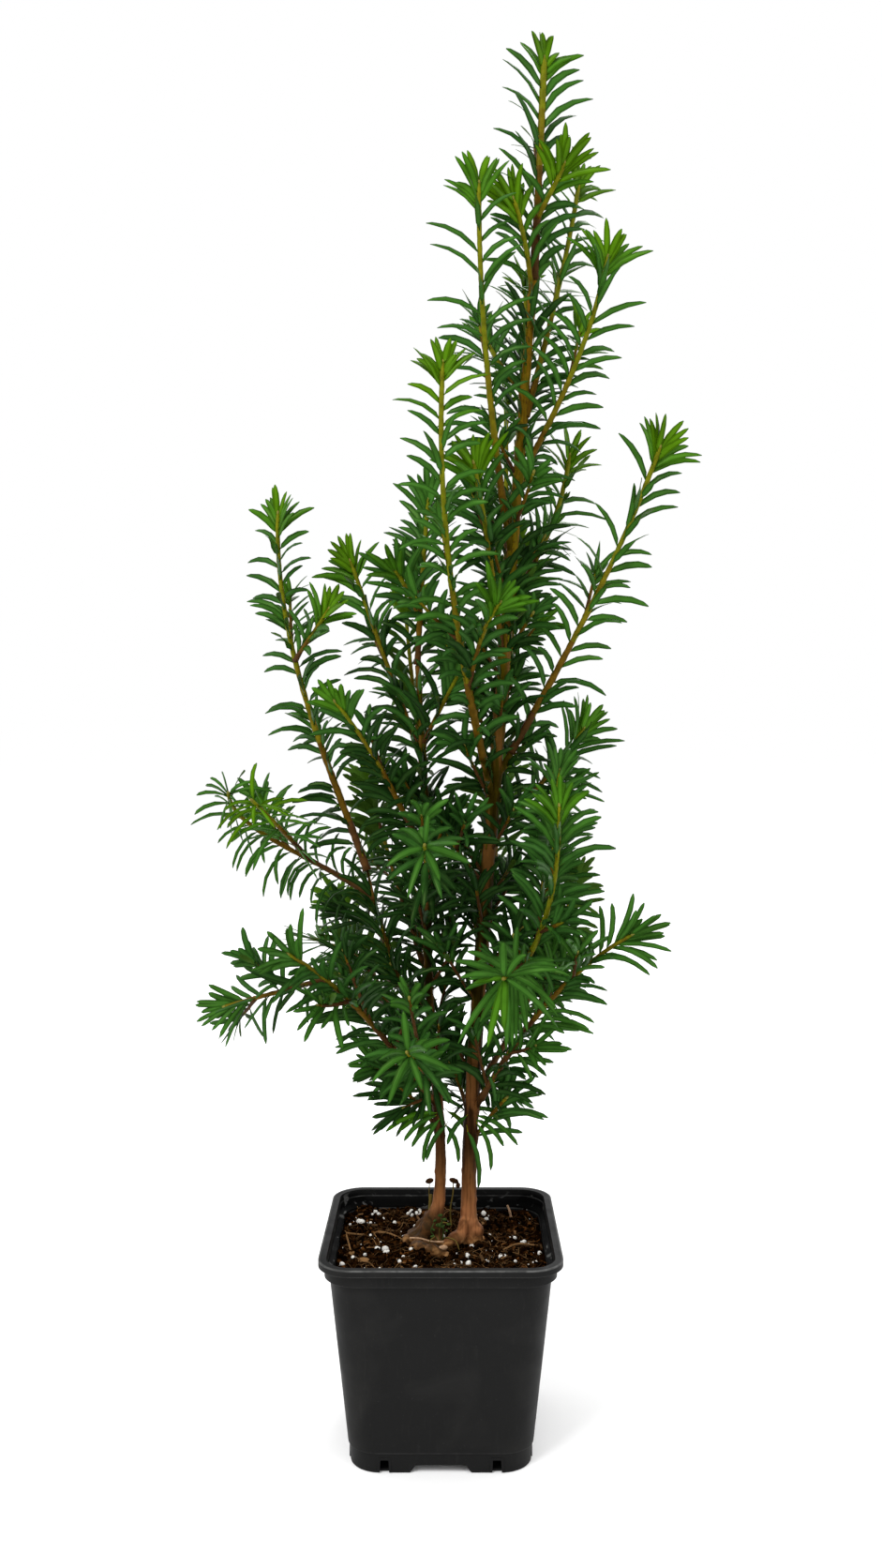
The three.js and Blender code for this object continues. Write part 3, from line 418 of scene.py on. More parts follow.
def smooth_line(points, steps=30):
    """A smooth line through all the points."""
    points = [np.array(point, float) for point in points]
    points = [2 * points[0] - points[1], *points, 2 * points[-1] - points[-2]]
    line = []
    for i in range(1, len(points) - 2):
        before, start, end, after = points[i - 1:i + 3]
        gaps = [np.linalg.norm(b - a) ** 0.5 for a, b in ((before, start), (start, end), (end, after))]
        leave = ((start - before) / gaps[0] - (end - before) / (gaps[0] + gaps[1])
                 + (end - start) / gaps[1]) * gaps[1]
        arrive = ((end - start) / gaps[1] - (after - start) / (gaps[1] + gaps[2])
                  + (after - end) / gaps[2]) * gaps[1]
        t = np.linspace(0, 1, steps, endpoint=False)[:, None]
        line.append(start + leave * t + (3 * (end - start) - 2 * leave - arrive) * t ** 2
                    + (2 * (start - end) + leave + arrive) * t ** 3)
    return np.vstack([*line, points[-2]])


def grow(start, shoot):
    """The line of a shoot: its turn and rise change evenly from its base to its tip."""
    s = (np.arange(GROW_STEPS) + 0.5) / GROW_STEPS
    heading = np.radians(shoot.turn + shoot.swing * s)
    climb = np.radians(shoot.rise + shoot.curl * s * s)
    strides = shoot.length / GROW_STEPS * np.column_stack(
        [np.cos(climb) * np.cos(heading), np.cos(climb) * np.sin(heading), np.sin(climb)])
    return np.vstack([start, start + np.cumsum(strides, axis=0)])


def grow_limbs():
    """Every stem and shoot, by name."""
    limbs = {name: Limb(smooth_line(stem.line), stem.radius) for name, stem in STEMS.items()}
    for name, shoot in SHOOTS.items():
        parent = limbs[shoot.parent]
        base = TWIG_BASE_RADIUS + RADIUS_PER_LENGTH * shoot.length
        if shoot.at == 1:
            base = max(base, float(parent.radius(1)))
        limbs[name] = Limb(grow(parent.at([shoot.at])[0], shoot), (base, TWIG_TIP_RADIUS))
    return limbs


LIMBS = grow_limbs()


def wood_of(name):
    """The part of a shoot that is a bare bough."""
    return SHOOTS[name].wood


def masses():
    """The names of the shoots that carry a mass of needles of their own."""
    return [name for name, shoot in SHOOTS.items() if not shoot.side_twig and shoot.wood < 1]


# Meshes and pieces.


def piece_of(name, mesh, materials=()):
    """A piece of the plant or pot that rides on the one body."""
    for material in materials:
        mesh.materials.append(material)
    piece = bpy.data.objects.new(name, mesh)
    bpy.context.scene.collection.objects.link(piece)
    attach(piece, "root")
    return piece


def mesh_of(bm, name, sharp_above=None):
    """The mesh of a finished bmesh, smooth but for edges sharper than the angle."""
    mesh = bpy.data.meshes.new(name)
    bm.to_mesh(mesh)
    bm.free()
    mesh.shade_smooth()
    if sharp_above is not None:
        mesh.set_sharp_from_angle(angle=math.radians(sharp_above))
    return mesh


class Batch:
    """Many small like shapes, joined into one mesh."""

    def __init__(self):
        self.points = []
        self.faces = []
        self.slots = []
        self.count = 0

    def add(self, points, faces, slots=0):
        """Adds points in millimetres and faces that count from the first of them."""
        self.faces.append(faces + self.count)
        self.slots.append(np.broadcast_to(slots, len(faces)))
        self.points.append(points)
        self.count += len(points)

    def mesh(self, name):
        """The joined mesh."""
        points = np.vstack(self.points) * MM
        mesh = bpy.data.meshes.new(name)
        mesh.vertices.add(len(points))
        mesh.vertices.foreach_set("co", points.astype(np.float32).ravel())
        corners = np.concatenate([faces.ravel() for faces in self.faces])
        sizes = np.concatenate([np.full(len(faces), faces.shape[1]) for faces in self.faces])
        mesh.loops.add(len(corners))
        mesh.loops.foreach_set("vertex_index", corners.astype(np.int32))
        mesh.polygons.add(len(sizes))
        mesh.polygons.foreach_set("loop_start", np.concatenate([[0], np.cumsum(sizes)[:-1]]).astype(np.int32))
        mesh.polygons.foreach_set("material_index", np.concatenate(self.slots).astype(np.int32))
        mesh.update(calc_edges=True)
        mesh.shade_smooth()
        return mesh


def tube_faces(rings, sides):
    """The faces of a closed tube of rings, with a strip of four-sided faces over each end."""
    ring = np.arange(rings - 1)[:, None] * sides
    i = np.arange(sides)
    after = (i + 1) % sides
    walls = np.stack([ring + i, ring + after, ring + sides + after, ring + sides + i], axis=-1).reshape(-1, 4)
    strip = np.array([(k, k + 1, sides - 2 - k, sides - 1 - k) for k in range(sides // 2 - 1)])
    return np.vstack([walls, strip[:, ::-1], strip + (rings - 1) * sides])


def carried_frames(limb, places):
    """Two directions across the limb at each place, carried along it without a twist."""
    ahead = limb.ahead(places)
    side = np.cross(ahead[0], [0.31, 0.94, 0.13])
    sides = []
    for direction in ahead:
        side = unit(side - direction * side.dot(direction))
        sides.append(side)
    sides = np.array(sides)
    return sides, np.cross(ahead, sides), ahead


def next_ring(bm, edges):
    """Extrudes a ring of edges in place and gives the new points and edges."""
    made = bmesh.ops.extrude_edge_only(bm, edges=edges)["geom"]
    verts = {part for part in made if isinstance(part, bmesh.types.BMVert)}
    edges = [part for part in made if isinstance(part, bmesh.types.BMEdge)]
    return verts, [edge for edge in edges if verts.issuperset(edge.verts)]


def sweep(bm, limb, places, radii, sides):
    """Extrudes a ring along a limb and closes both ends."""
    side, back, ahead = carried_frames(limb, places)
    centres = limb.at(places)
    stands = []
    for i in range(len(places)):
        stand = Matrix((side[i], back[i], ahead[i])).transposed().to_4x4()
        stand.translation = centres[i] * MM
        stands.append(stand @ Matrix.Scale(radii[i] * MM, 4))
    ring = bmesh.ops.create_circle(bm, segments=sides, radius=1, matrix=stands[0])["verts"]
    edges = list({edge for vert in ring for edge in vert.link_edges})
    foot = list(edges)
    for before, stand in zip(stands, stands[1:]):
        ring, edges = next_ring(bm, edges)
        bmesh.ops.transform(bm, matrix=stand @ before.inverted(), verts=list(ring))
    bmesh.ops.contextual_create(bm, geom=foot)
    bmesh.ops.contextual_create(bm, geom=edges)


def fused_mesh(bm, name, voxel):
    """One skin round everything in the bmesh."""
    bmesh.ops.recalc_face_normals(bm, faces=bm.faces)
    rough = bpy.data.objects.new(name + "_rough", mesh_of(bm, name + "_rough"))
    bpy.context.scene.collection.objects.link(rough)
    fuse = rough.modifiers.new("Fuse", "REMESH")
    fuse.mode = "VOXEL"
    fuse.voxel_size = voxel * MM
    mesh = bpy.data.meshes.new_from_object(rough.evaluated_get(bpy.context.evaluated_depsgraph_get()))
    mesh.name = name
    bpy.data.objects.remove(rough)
    mesh.shade_smooth()
    return mesh


def read_points(mesh):
    """A mesh's points in millimetres and its normals."""
    points = np.empty(3 * len(mesh.vertices), np.float32)
    normals = np.empty_like(points)
    mesh.vertices.foreach_get("co", points)
    mesh.vertex_normals.foreach_get("vector", normals)
    return points.reshape(-1, 3).astype(float) / MM, normals.reshape(-1, 3).astype(float)


def write_points(mesh, points):
    """Gives a mesh new points, in millimetres."""
    mesh.vertices.foreach_set("co", (points * MM).astype(np.float32).ravel())
    mesh.update()


def bark_relief(mesh, depth, knobs=()):
    """Raises fine upright ridges, leaf scars and a swelling round each knob on a stem's skin."""
    points, normals = read_points(mesh)
    lift = np.empty(len(points))
    for i, (x, y, z) in enumerate(points):
        ridge = noise.noise((0.9 * x, 0.9 * y, 0.11 * z))
        flake = noise.noise((0.45 * x + 9, 0.45 * y, 0.3 * z))
        pore = noise.noise((2.1 * x, 2.1 * y, 1.6 * z + 5))
        lift[i] = depth * (0.9 * ridge + 0.8 * flake + 0.35 * pore)
    for place, height, spread in knobs:
        gap = np.linalg.norm(points - place, axis=1)
        lift += height * np.exp(-0.5 * (gap / spread) ** 2)
    write_points(mesh, points + normals * lift[:, None])


# Finishes.


class Finish:
    """A material with one principled shader and the nodes that feed it."""

    def __init__(self, name, colour, roughness, **sockets):
        self.material = bpy.data.materials.new(name)
        self.material.use_nodes = True
        self.material.diffuse_color = (*colour, 1)
        self.tree = self.material.node_tree
        self.shader = self.tree.nodes["Principled BSDF"]
        self.paint(colour)
        self.gloss(roughness)
        for socket, value in sockets.items():
            self.set(self.shader, socket.replace("_", " ").title().replace("Ior", "IOR"), value)
        self.place = self.tree.nodes.new("ShaderNodeTexCoord").outputs["Object"]

    def set(self, node, name, value):
        """Links an output to a socket, or sets a plain value on it."""
        socket = node.inputs[name]
        if isinstance(value, bpy.types.NodeSocket):
            self.tree.links.new(value, socket)
        elif socket.type == "RGBA":
            socket.default_value = (*value, 1)
        else:
            socket.default_value = value

    def node(self, kind, sockets):
        """A new node with its sockets linked or set."""
        node = self.tree.nodes.new("ShaderNode" + kind)
        for name, value in sockets.items():
            self.set(node, name, value)
        return node

    def noise(self, scale, detail=4, stretch=(1, 1, 1), distortion=0.0):
        """A cloudy pattern from 0 to 1, with this many waves in a metre."""
        mapping = self.node("Mapping", {"Vector": self.place, "Scale": stretch})
        return self.node("TexNoise", {"Vector": mapping.outputs["Vector"], "Scale": scale, "Detail": detail,
                                      "Distortion": distortion}).outputs["Fac"]

    def along(self, axis):
        """How far along an axis a place is, in metres."""
        return self.node("SeparateXYZ", {"Vector": self.place}).outputs[axis]

    def height(self, low, high):
        """0 at the low height and 1 at the high one, in millimetres."""
        return self.spread(self.along("Z"), low * MM, high * MM, 0, 1)

    def band(self, middle, half):
        """1 at this height and 0 beyond half the band, in millimetres."""
        gap = self.math("ABSOLUTE", self.math("SUBTRACT", self.along("Z"), middle * MM))
        return self.spread(gap, 0, half * MM, 1, 0)

    def short_of(self, half, corner, gap, soft):
        """1 well inside a rounded square and 0 from this gap inside its edge outwards, in millimetres."""
        arms = [self.math("MAXIMUM", self.math("SUBTRACT", self.math("ABSOLUTE", self.along(axis)),
                                               (half - corner) * MM)) for axis in "XY"]
        reach = self.math("SQRT", self.math("ADD", *[self.times(arm, arm) for arm in arms]))
        return self.spread(reach, (corner - gap - soft) * MM, (corner - gap) * MM, 1, 0)

    def math(self, operation, first, second=0.0):
        """One number worked out from two."""
        node = self.node("Math", {0: first, 1: second})
        node.operation = operation
        return node.outputs[0]

    def times(self, first, second):
        """The product of two numbers."""
        return self.math("MULTIPLY", first, second)

    def spread(self, value, low, high, to_low, to_high):
        """Maps a range to another and holds it there."""
        return self.node("MapRange", {"Value": value, "From Min": low, "From Max": high, "To Min": to_low,
                                      "To Max": to_high}).outputs["Result"]

    def ramp(self, value, stops):
        """A colour that follows the stops, each a place and a colour."""
        ramp = self.node("ValToRGB", {"Fac": value})
        elements = ramp.color_ramp.elements
        while len(elements) < len(stops):
            elements.new(0.5)
        for element, (place, colour) in zip(elements, stops):
            element.position = place
            element.color = (*colour, 1)
        return ramp.outputs["Color"]

    def mix(self, factor, first, second, blend="MIX"):
        """One colour laid over another."""
        mix = self.node("Mix", {"Factor": factor, 6: first, 7: second})
        mix.data_type = "RGBA"
        mix.blend_type = blend
        return mix.outputs[2]

    def paint(self, colour):
        """Feeds the shader's colour."""
        self.set(self.shader, "Base Color", colour)

    def gloss(self, value):
        """Feeds the shader's roughness."""
        self.set(self.shader, "Roughness", value)

    def bump(self, height, distance, strength=1.0):
        """Adds relief of this depth in millimetres, over any that is there."""
        bump = self.node("Bump", {"Height": height, "Distance": distance * MM, "Strength": strength})
        normal = self.shader.inputs["Normal"]
        if normal.is_linked:
            self.tree.links.new(normal.links[0].from_socket, bump.inputs["Normal"])
        self.tree.links.new(bump.outputs["Normal"], normal)


def shade(colour, factor):
    """The colour made lighter or darker."""
    return tuple(min(1.0, factor * part) for part in colour)


def mottled(name, colour, roughness, scale, contrast=0.25, bump=0.0):
    """A finish whose colour drifts a little either way of its own."""
    finish = Finish(name, colour, roughness, specular_ior_level=0.01)
    drift = finish.noise(scale)
    finish.paint(finish.ramp(drift, [(0.3, shade(colour, 1 - contrast)), (0.7, shade(colour, 1 + contrast))]))
    if bump:
        finish.bump(finish.noise(3 * scale, 5), bump)
    return finish.material


def pot_finish(colours, sizes):
    """Moulded black plastic with scuffs and a little dust, with painted shade inside and on the lip's top,
    and painted highlights along its edges.
    """
    finish = Finish("black_pot_plastic", colours.pot, 0.5, specular_ior_level=0.07)
    film = finish.spread(finish.noise(38, 6, distortion=0.6), 0.5, 0.78, 0, 0.5)
    specks = finish.spread(finish.noise(1300, 3), 0.66, 0.78, 0, 0.55)
    streaks = finish.spread(finish.noise(60, 5, stretch=(9, 9, 0.9)), 0.6, 0.85, 0, 0.35)
    colour = finish.mix(film, colours.pot, colours.pot_dust)
    colour = finish.mix(specks, colour, shade(colours.pot_dust, 1.9))
    colour = finish.mix(streaks, colour, shade(colours.pot_dust, 1.3))
    rim, corner, height = sizes.rim_half / MM, sizes.rim_corner / MM, sizes.pot_height / MM
    within = finish.short_of(rim, corner, 0.6, 0.3)
    # Painted shade: the lip's top face inside its outer edge is darkened.
    lip = finish.times(finish.height(height - 0.6, height - 0.2), within)
    colour = finish.mix(lip, colour, shade(colours.pot, 0.7))
    # Painted shade: the inner walls are darkened, as shade falls inside the pot.
    inner = finish.short_of(rim, corner, RIM_FACE, 0.5)
    inner = finish.times(finish.height(BODY_TOP + 0.3, BODY_TOP + 0.8), inner)
    colour = finish.mix(inner, colour, shade(colours.pot, 0.4))
    scuffs = finish.spread(finish.noise(120, 6, stretch=(1, 1, 2.2), distortion=1.4), 0.6, 0.66, 0, 0.6)
    colour = finish.mix(finish.times(inner, scuffs), colour, shade(colours.pot_wear_and_highlight, 1.8))
    # Painted highlights along the moulded edges, broken into patches like wear.
    wear_and_glint = finish.spread(finish.noise(170, 5, distortion=0.7), 0.36, 0.62, 0.35, 1)
    outer = finish.math("SUBTRACT", 1.0, within)
    for middle, half, pale, outer_only in HIGHLIT_WORN_EDGES:
        line = finish.times(finish.band(middle, half), wear_and_glint)
        if outer_only:
            line = finish.times(line, outer)
        colour = finish.mix(line, colour, shade(colours.pot_wear_and_highlight, pale))
    finish.paint(colour)
    # Painted shade: the inner walls also reflect less.
    finish.set(finish.shader, "Specular IOR Level", finish.spread(inner, 0, 1, 0.07, 0.01))
    finish.gloss(finish.spread(finish.noise(55, 6, distortion=0.8), 0.3, 0.75, 0.4, 0.62))
    finish.bump(finish.noise(2200, 2), 0.03, 0.5)
    finish.bump(finish.noise(22, 2), 0.9, 0.35)
    return finish.material


def mix_finish(colours):
    """Moist peat and bark crumbs, with painted shade in the hollows."""
    finish = Finish("moist_potting_mix", colours.mix_dark, 0.95, specular_ior_level=0)
    crumbs = finish.noise(420, 7, distortion=0.4)
    # The same pattern raises the bump, so the darkest colour lies in its hollows, partly as painted shade.
    colour = finish.ramp(crumbs, [
        (0.32, shade(colours.mix_dark, 0.45)), (0.5, colours.mix_dark), (0.62, colours.mix_light),
        (0.74, shade(colours.mix_light, 1.8))])
    finish.paint(colour)
    finish.bump(crumbs, 1.6, 0.9)
    finish.bump(finish.noise(1500, 4), 0.4, 0.8)
    return finish.material


def streaked(finish, colour, colours):
    """Painted upright shadows and painted streaks of light on the bark inside the crown."""
    streaks = finish.noise(260, 3, stretch=(1, 1, 0.12))
    shadows = finish.ramp(streaks, [(0.38, (0.27, 0.22, 0.19)), (0.6, (1, 1, 1))])
    colour = finish.mix(finish.height(*SHADOWS_IN), colour, finish.mix(1.0, colour, shadows, "MULTIPLY"))
    # Painted light: warmer, lighter streaks where light falls on the bark.
    glow = finish.spread(streaks, 0.5, 0.62, 0, 0.55)
    for heights in GLOW_IN:
        glow = finish.times(glow, finish.height(*heights))
    return finish.mix(glow, colour, shade(colours.bark, 1.5))


def young_skin(finish, colour, colours):
    """Green ridges and dark needle scars on the young wood."""
    young = finish.height(*YOUNG_IN)
    ridges = finish.spread(finish.noise(240, 4, stretch=(1, 1, 0.4), distortion=0.6), 0.5, 0.62, 0, 0.7)
    colour = finish.mix(finish.times(young, ridges), colour, shade(colours.twig_green, 0.5))
    scars = finish.spread(finish.noise(420, 3, stretch=(1, 1, 0.7)), 0.58, 0.66, 0, 0.75)
    return finish.mix(finish.times(young, scars), colour, shade(colours.bark, 0.3))


def root_skin(finish, colour, colours, top, light):
    """Patchy wood of the root crown, darker above, where its dark colour is partly painted shade of the
    hollows between the stems, and paler towards the mix.
    """
    cloud = finish.noise(300, 6, distortion=0.8)
    dark_and_shaded_roots = ((0.4, colours.root_dark, 0.7), (0.7, colours.root_orange, 0.9))
    pale_roots = ((0.36, colours.root_dark, 1), (0.5, colours.root_orange, 1), (0.7, colours.root_tan, 1))
    dark_and_shaded_roots, pale_roots = (finish.ramp(cloud, [(place, shade(wood, share * light)) for place, wood, share in stops])
                for stops in (dark_and_shaded_roots, pale_roots))
    root = finish.mix(finish.height(*PALE_ROOT_IN), dark_and_shaded_roots, pale_roots)
    return finish.mix(finish.height(top, top - ROOT_FADE), colour, root)


def bark_finish(name, colours, span, stops, root_top=0, root_light=1):
    """Smooth young bark with fine upright cracks, changing colour up the stem and patchy on the roots."""
    finish = Finish(name, colours.bark, 0.6, specular_ior_level=0.05, specular_tint=(1, 0.65, 0.3))
    colour = finish.ramp(finish.height(*span), [(place, shade(getattr(colours, part), light))
                                                for place, part, light in stops])
    grain = finish.noise(900, 6, stretch=(1, 1, 0.1))
    patches = finish.noise(190, 5, stretch=(1, 1, 0.35), distortion=0.5)
    cracks = finish.ramp(finish.spread(grain, 0.34, 0.5, 0.4, 1), [(0, (0.36, 0.3, 0.26)), (1, (1, 1, 1))])
    colour = finish.mix(1.0, colour, cracks, "MULTIPLY")
    colour = streaked(finish, colour, colours)
    pale = finish.times(finish.spread(patches, 0.5, 0.68, 0, 0.3), finish.height(*FLAKES_IN))
    colour = finish.mix(pale, colour, colours.bark_pale)
    colour = young_skin(finish, colour, colours)
    if root_top:
        colour = root_skin(finish, colour, colours, root_top, root_light)
    finish.paint(colour)
    finish.set(finish.shader, "Specular IOR Level", finish.spread(finish.height(*SHEEN_IN), 0, 1, 0.05, 0.2))
    finish.gloss(finish.spread(patches, 0.3, 0.7, 0.36, 0.7))
    finish.bump(grain, 0.22, 0.7)
    finish.bump(finish.noise(2600, 3), 0.06, 0.6)
    return finish.material


def twig_finish(name, colour):
    """Ribbed shoot skin."""
    finish = Finish(name, colour, 0.5, specular_ior_level=0.12, specular_tint=(1, 0.85, 0.25))
    drift = finish.noise(260, 5)
    finish.paint(finish.ramp(drift, [(0.3, shade(colour, 0.62)), (0.55, colour), (0.75, shade(colour, 1.4))]))
    finish.bump(finish.noise(1400, 3), 0.12, 0.7)
    return finish.material


def needle_finish(name, colour, roughness, level=0.05):
    """A leathery needle skin, a little uneven in tint."""
    finish = Finish(name, colour, roughness, specular_ior_level=level, specular_tint=(0.6, 0.95, 0.25))
    drift = finish.noise(90, 3)
    finish.paint(finish.ramp(drift, [(0.3, shade(colour, 0.75)), (0.7, shade(colour, 1.3))]))
    finish.gloss(finish.spread(drift, 0.3, 0.7, roughness - 0.06, roughness + 0.1))
    finish.bump(finish.noise(900, 3), 0.05, 0.5)
    return finish.material


# Pot.


def reshape_outline(verts, half, corner, z, was_half, was_corner):
    """Moves a rounded square ring to new sizes and a new height."""
    for vert in verts:
        for axis in (0, 1):
            sign = math.copysign(1, vert.co[axis])
            arm = vert.co[axis] - sign * (was_half - was_corner) * MM
            vert.co[axis] = sign * (half - corner) * MM + arm * corner / was_corner
        vert.co.z = z * MM


def rounded_block(bm, stations, corner_segments):
    """A closed body through a stack of rounded squares, each a half width, a corner and a height."""
    half, corner, z = stations[0]
    bmesh.ops.create_grid(bm, x_segments=1, y_segments=1, size=half * MM)
    bmesh.ops.bevel(bm, geom=bm.verts[:], offset=corner * MM, affect="VERTICES", segments=corner_segments,
                    profile=0.5, material=-1)
    reshape_outline(bm.verts, half, corner, z, half, corner)
    edges = bm.edges[:]
    for next_half, next_corner, next_z in stations[1:]:
        ring, edges = next_ring(bm, edges)
        reshape_outline(ring, next_half, next_corner, next_z, half, corner)
        half, corner = next_half, next_corner
    bmesh.ops.contextual_create(bm, geom=edges)
    bmesh.ops.recalc_face_normals(bm, faces=bm.faces)


def block_object(name, width, depth, span, place=(0, 0), top_width=None, quarter=0):
    """A box to cut or join with, narrower at its top where top_width is given, turned by quarters."""
    bm = bmesh.new()
    bmesh.ops.create_cube(bm, size=1)
    for vert in bm.verts:
        across = top_width if top_width and vert.co.z > 0 else width
        vert.co = Vector((place[0] + vert.co.x * across, place[1] + vert.co.y * depth,
                          span[0] if vert.co.z < 0 else span[1])) * MM
    bm.transform(Matrix.Rotation(quarter * math.pi / 2, 4, "Z"))
    block = bpy.data.objects.new(name, mesh_of(bm, name))
    bpy.context.scene.collection.objects.link(block)
    return block


def carve(piece, blocks, operation):
    """Cuts the blocks from a piece, or joins them to it, and drops them."""
    for block in blocks:
        cut = piece.modifiers.new("Carve", "BOOLEAN")
        cut.object = block
        cut.operation = operation
        cut.solver = "EXACT"
    carved = bpy.data.meshes.new_from_object(piece.evaluated_get(bpy.context.evaluated_depsgraph_get()))
    piece.modifiers.clear()
    piece.data = carved
    for block in blocks:
        bpy.data.objects.remove(block)


def pot_stations(sizes):
    """The pot's skin from the middle of its underside, over the rim and down to its inner floor."""
    rim, corner, height = sizes.rim_half / MM, sizes.rim_corner / MM, sizes.pot_height / MM
    lip_low = height - LIP_HEIGHT
    inner = corner - WALL
    return [
        (SKIRT_HALF, FOOT_CORNER, 0), (SKIRT_HALF + 0.4, FOOT_CORNER, SKIRT_TOP),
        (BODY_FOOT_HALF, FOOT_CORNER, SKIRT_STEP), (BODY_TOP_HALF, corner, BODY_TOP),
        (BAND_HALF, corner, BODY_TOP + 0.4), (BAND_HALF + 0.1, corner, lip_low - 0.4),
        (rim, corner, lip_low), (rim, corner, height), (rim - RIM_FACE, corner - RIM_FACE, height),
        (BAND_HALF - WALL, inner, LEDGE_HEIGHT), (BODY_TOP_HALF - WALL, inner, BODY_TOP + WALL),
        (BODY_FOOT_HALF - WALL, FOOT_CORNER - WALL, SKIRT_TOP),
        (BODY_FOOT_HALF - WALL - 0.4, FOOT_CORNER - WALL, FLOOR_TOP),
    ]


class YEW_OT_make_pot(bpy.types.Operator):
    """Makes the square nursery pot with its rim, skirt, slots and notches"""

    bl_idname = "yew.make_pot"
    bl_label = "Make Pot"

    def execute(self, context):
        sizes, colours = context.scene.yew_sizes, context.scene.yew_colours
        bm = bmesh.new()
        rounded_block(bm, pot_stations(sizes), sizes.corner_segments)
        pot = piece_of("nursery_pot", mesh_of(bm, "nursery_pot"))
        frames, cuts = [], []
        for quarter in range(4):
            for x in (-SLOT_OFFSET, SLOT_OFFSET):
                frames.append(block_object("slot_frame", SLOT_WIDTH + 2, 0.8, (0.6, SLOT_HEIGHT + 1.1),
                                           (x, -SKIRT_HALF - 0.1), SLOT_WIDTH + 1.4, quarter))
                cuts.append(block_object("slot_cut", SLOT_WIDTH, 3, (-1, SLOT_HEIGHT), (x, -SKIRT_HALF),
                                         SLOT_WIDTH - 0.8, quarter))
                cuts.append(block_object("slot_pocket", SLOT_WIDTH + 1, 8, (0.9, SLOT_HEIGHT + 0.2),
                                         (x, -SKIRT_HALF + 5.4), quarter=quarter))
            cuts.append(block_object("notch_cut", NOTCH_FOOT + 1.8, 6, (-1, NOTCH_HEIGHT), (0, -SKIRT_HALF),
                                     NOTCH_TOP, quarter))
        reach = 2 * (SKIRT_HALF - WALL)
        cuts.append(block_object("cross_cut", reach, 2 * CROSS_HALF, (-1, FLOOR_UNDER)))
        cuts.append(block_object("cross_cut", 2 * CROSS_HALF, reach - 0.02, (-1, FLOOR_UNDER - 0.01)))
        carve(pot, frames, "UNION")
        carve(pot, cuts, "DIFFERENCE")
        pot.data.shade_smooth()
        pot.data.set_sharp_from_angle(angle=SHARP_EDGE)
        bevel = pot.modifiers.new("Edges", "BEVEL")
        bevel.width = sizes.edge_round
        bevel.segments = 3
        bevel.limit_method = "ANGLE"
        bevel.angle_limit = SHARP_EDGE
        bevel.harden_normals = True
        pot.data.materials.append(pot_finish(colours, sizes))
        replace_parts(pot, "pot")
        return {"FINISHED"}


# Potting mix.


def mix_top(x, y):
    """Height of the mix's top at a place: the lie of the solid under it, with a crumbly relief."""
    tilt = MIX_TILT[0] * x + MIX_TILT[1] * y
    broad = np.sin(0.31 * x + 1) * np.sin(0.27 * y + 2)
    fine = 0.5 * np.sin(0.7 * x - 0.5 * y)
    lie = bpy.context.scene.yew_sizes.mix_level / MM + 0.7 * (tilt + MIX_LUMP * (broad + fine))
    coarse = noise.fractal((0.16 * x, 0.16 * y, 3.0), 0.9, 2.1, 5)
    return float(lie) + (1.7 * coarse + 0.5 * noise.noise((0.9 * x, 0.9 * y, 7.0)))


def mix_half(z=BODY_TOP - 2):
    """Half width of the mix at a height, just inside the wall."""
    rise = (z - SKIRT_STEP) / (BODY_TOP - SKIRT_STEP)
    return BODY_FOOT_HALF + (BODY_TOP_HALF - BODY_FOOT_HALF) * rise - WALL - 0.3


def in_rounded_square(x, y, half, corner):
    """Maps a square of the same half width onto the rounded square."""
    ax, ay = abs(x), abs(y)
    if min(ax, ay) < 1e-6:
        return x, y
    big, small = max(ax, ay), min(ax, ay)
    ratio = small / big
    centre = half - corner
    if ratio * half <= centre:
        return x, y
    # Where a ray from the middle meets the corner's arc.
    a = 1 + ratio * ratio
    b = centre * (1 + ratio)
    c = 2 * centre * centre - corner * corner
    edge = (b + math.sqrt(max(b * b - a * c, 0))) / a
    return x * edge / half, y * edge / half


class YEW_OT_make_mix(bpy.types.Operator):
    """Makes the lumpy top and the body of the potting mix"""

    bl_idname = "yew.make_mix"
    bl_label = "Make Potting Mix"

    def execute(self, context):
        half = mix_half()
        bm = bmesh.new()
        bmesh.ops.create_grid(bm, x_segments=MIX_FACES, y_segments=MIX_FACES, size=half * MM)
        rim = [edge for edge in bm.edges if edge.is_boundary]
        for vert in bm.verts:
            x, y = in_rounded_square(vert.co.x / MM, vert.co.y / MM, half, MIX_CORNER)
            vert.co = Vector((x, y, mix_top(x, y))) * MM
        for z in (MIX_WAIST, SKIRT_STEP + 1):
            ring, rim = next_ring(bm, rim)
            for vert in ring:
                arm = Vector((vert.co.x, vert.co.y, 0)) * (mix_half(z) / half)
                vert.co = arm + Vector((0, 0, z * MM))
            half = mix_half(z)
        bmesh.ops.contextual_create(bm, geom=rim)
        bmesh.ops.recalc_face_normals(bm, faces=bm.faces)
        mix = piece_of("mix_bed", mesh_of(bm, "mix_bed"),
                       [mix_finish(context.scene.yew_colours)])
        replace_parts(mix, "potting_mix")
        return {"FINISHED"}


def template(shape):
    """Points and faces of a small ball or block of half size 1, as arrays."""
    bm = bmesh.new()
    if shape == "block":
        bmesh.ops.create_cube(bm, size=2)
    else:
        bmesh.ops.create_icosphere(bm, subdivisions=2 if shape == "fine_ball" else 1, radius=1)
    points = np.array([vert.co for vert in bm.verts])
    faces = np.array([[vert.index for vert in face.verts] for face in bm.faces])
    bm.free()
    return points, faces


def random_turns(rng, count, tilt):
    """Turn matrices: any heading, and a lean of up to tilt radians."""
    turns = np.empty((count, 3, 3))
    for i in range(count):
        turn = Matrix.Rotation(rng.uniform(0, 2 * math.pi), 3, "Z")
        lean = Matrix.Rotation(rng.uniform(-tilt, tilt), 3, "X") @ Matrix.Rotation(
            rng.uniform(-tilt, tilt), 3, "Y")
        turns[i] = turn @ lean
    return turns


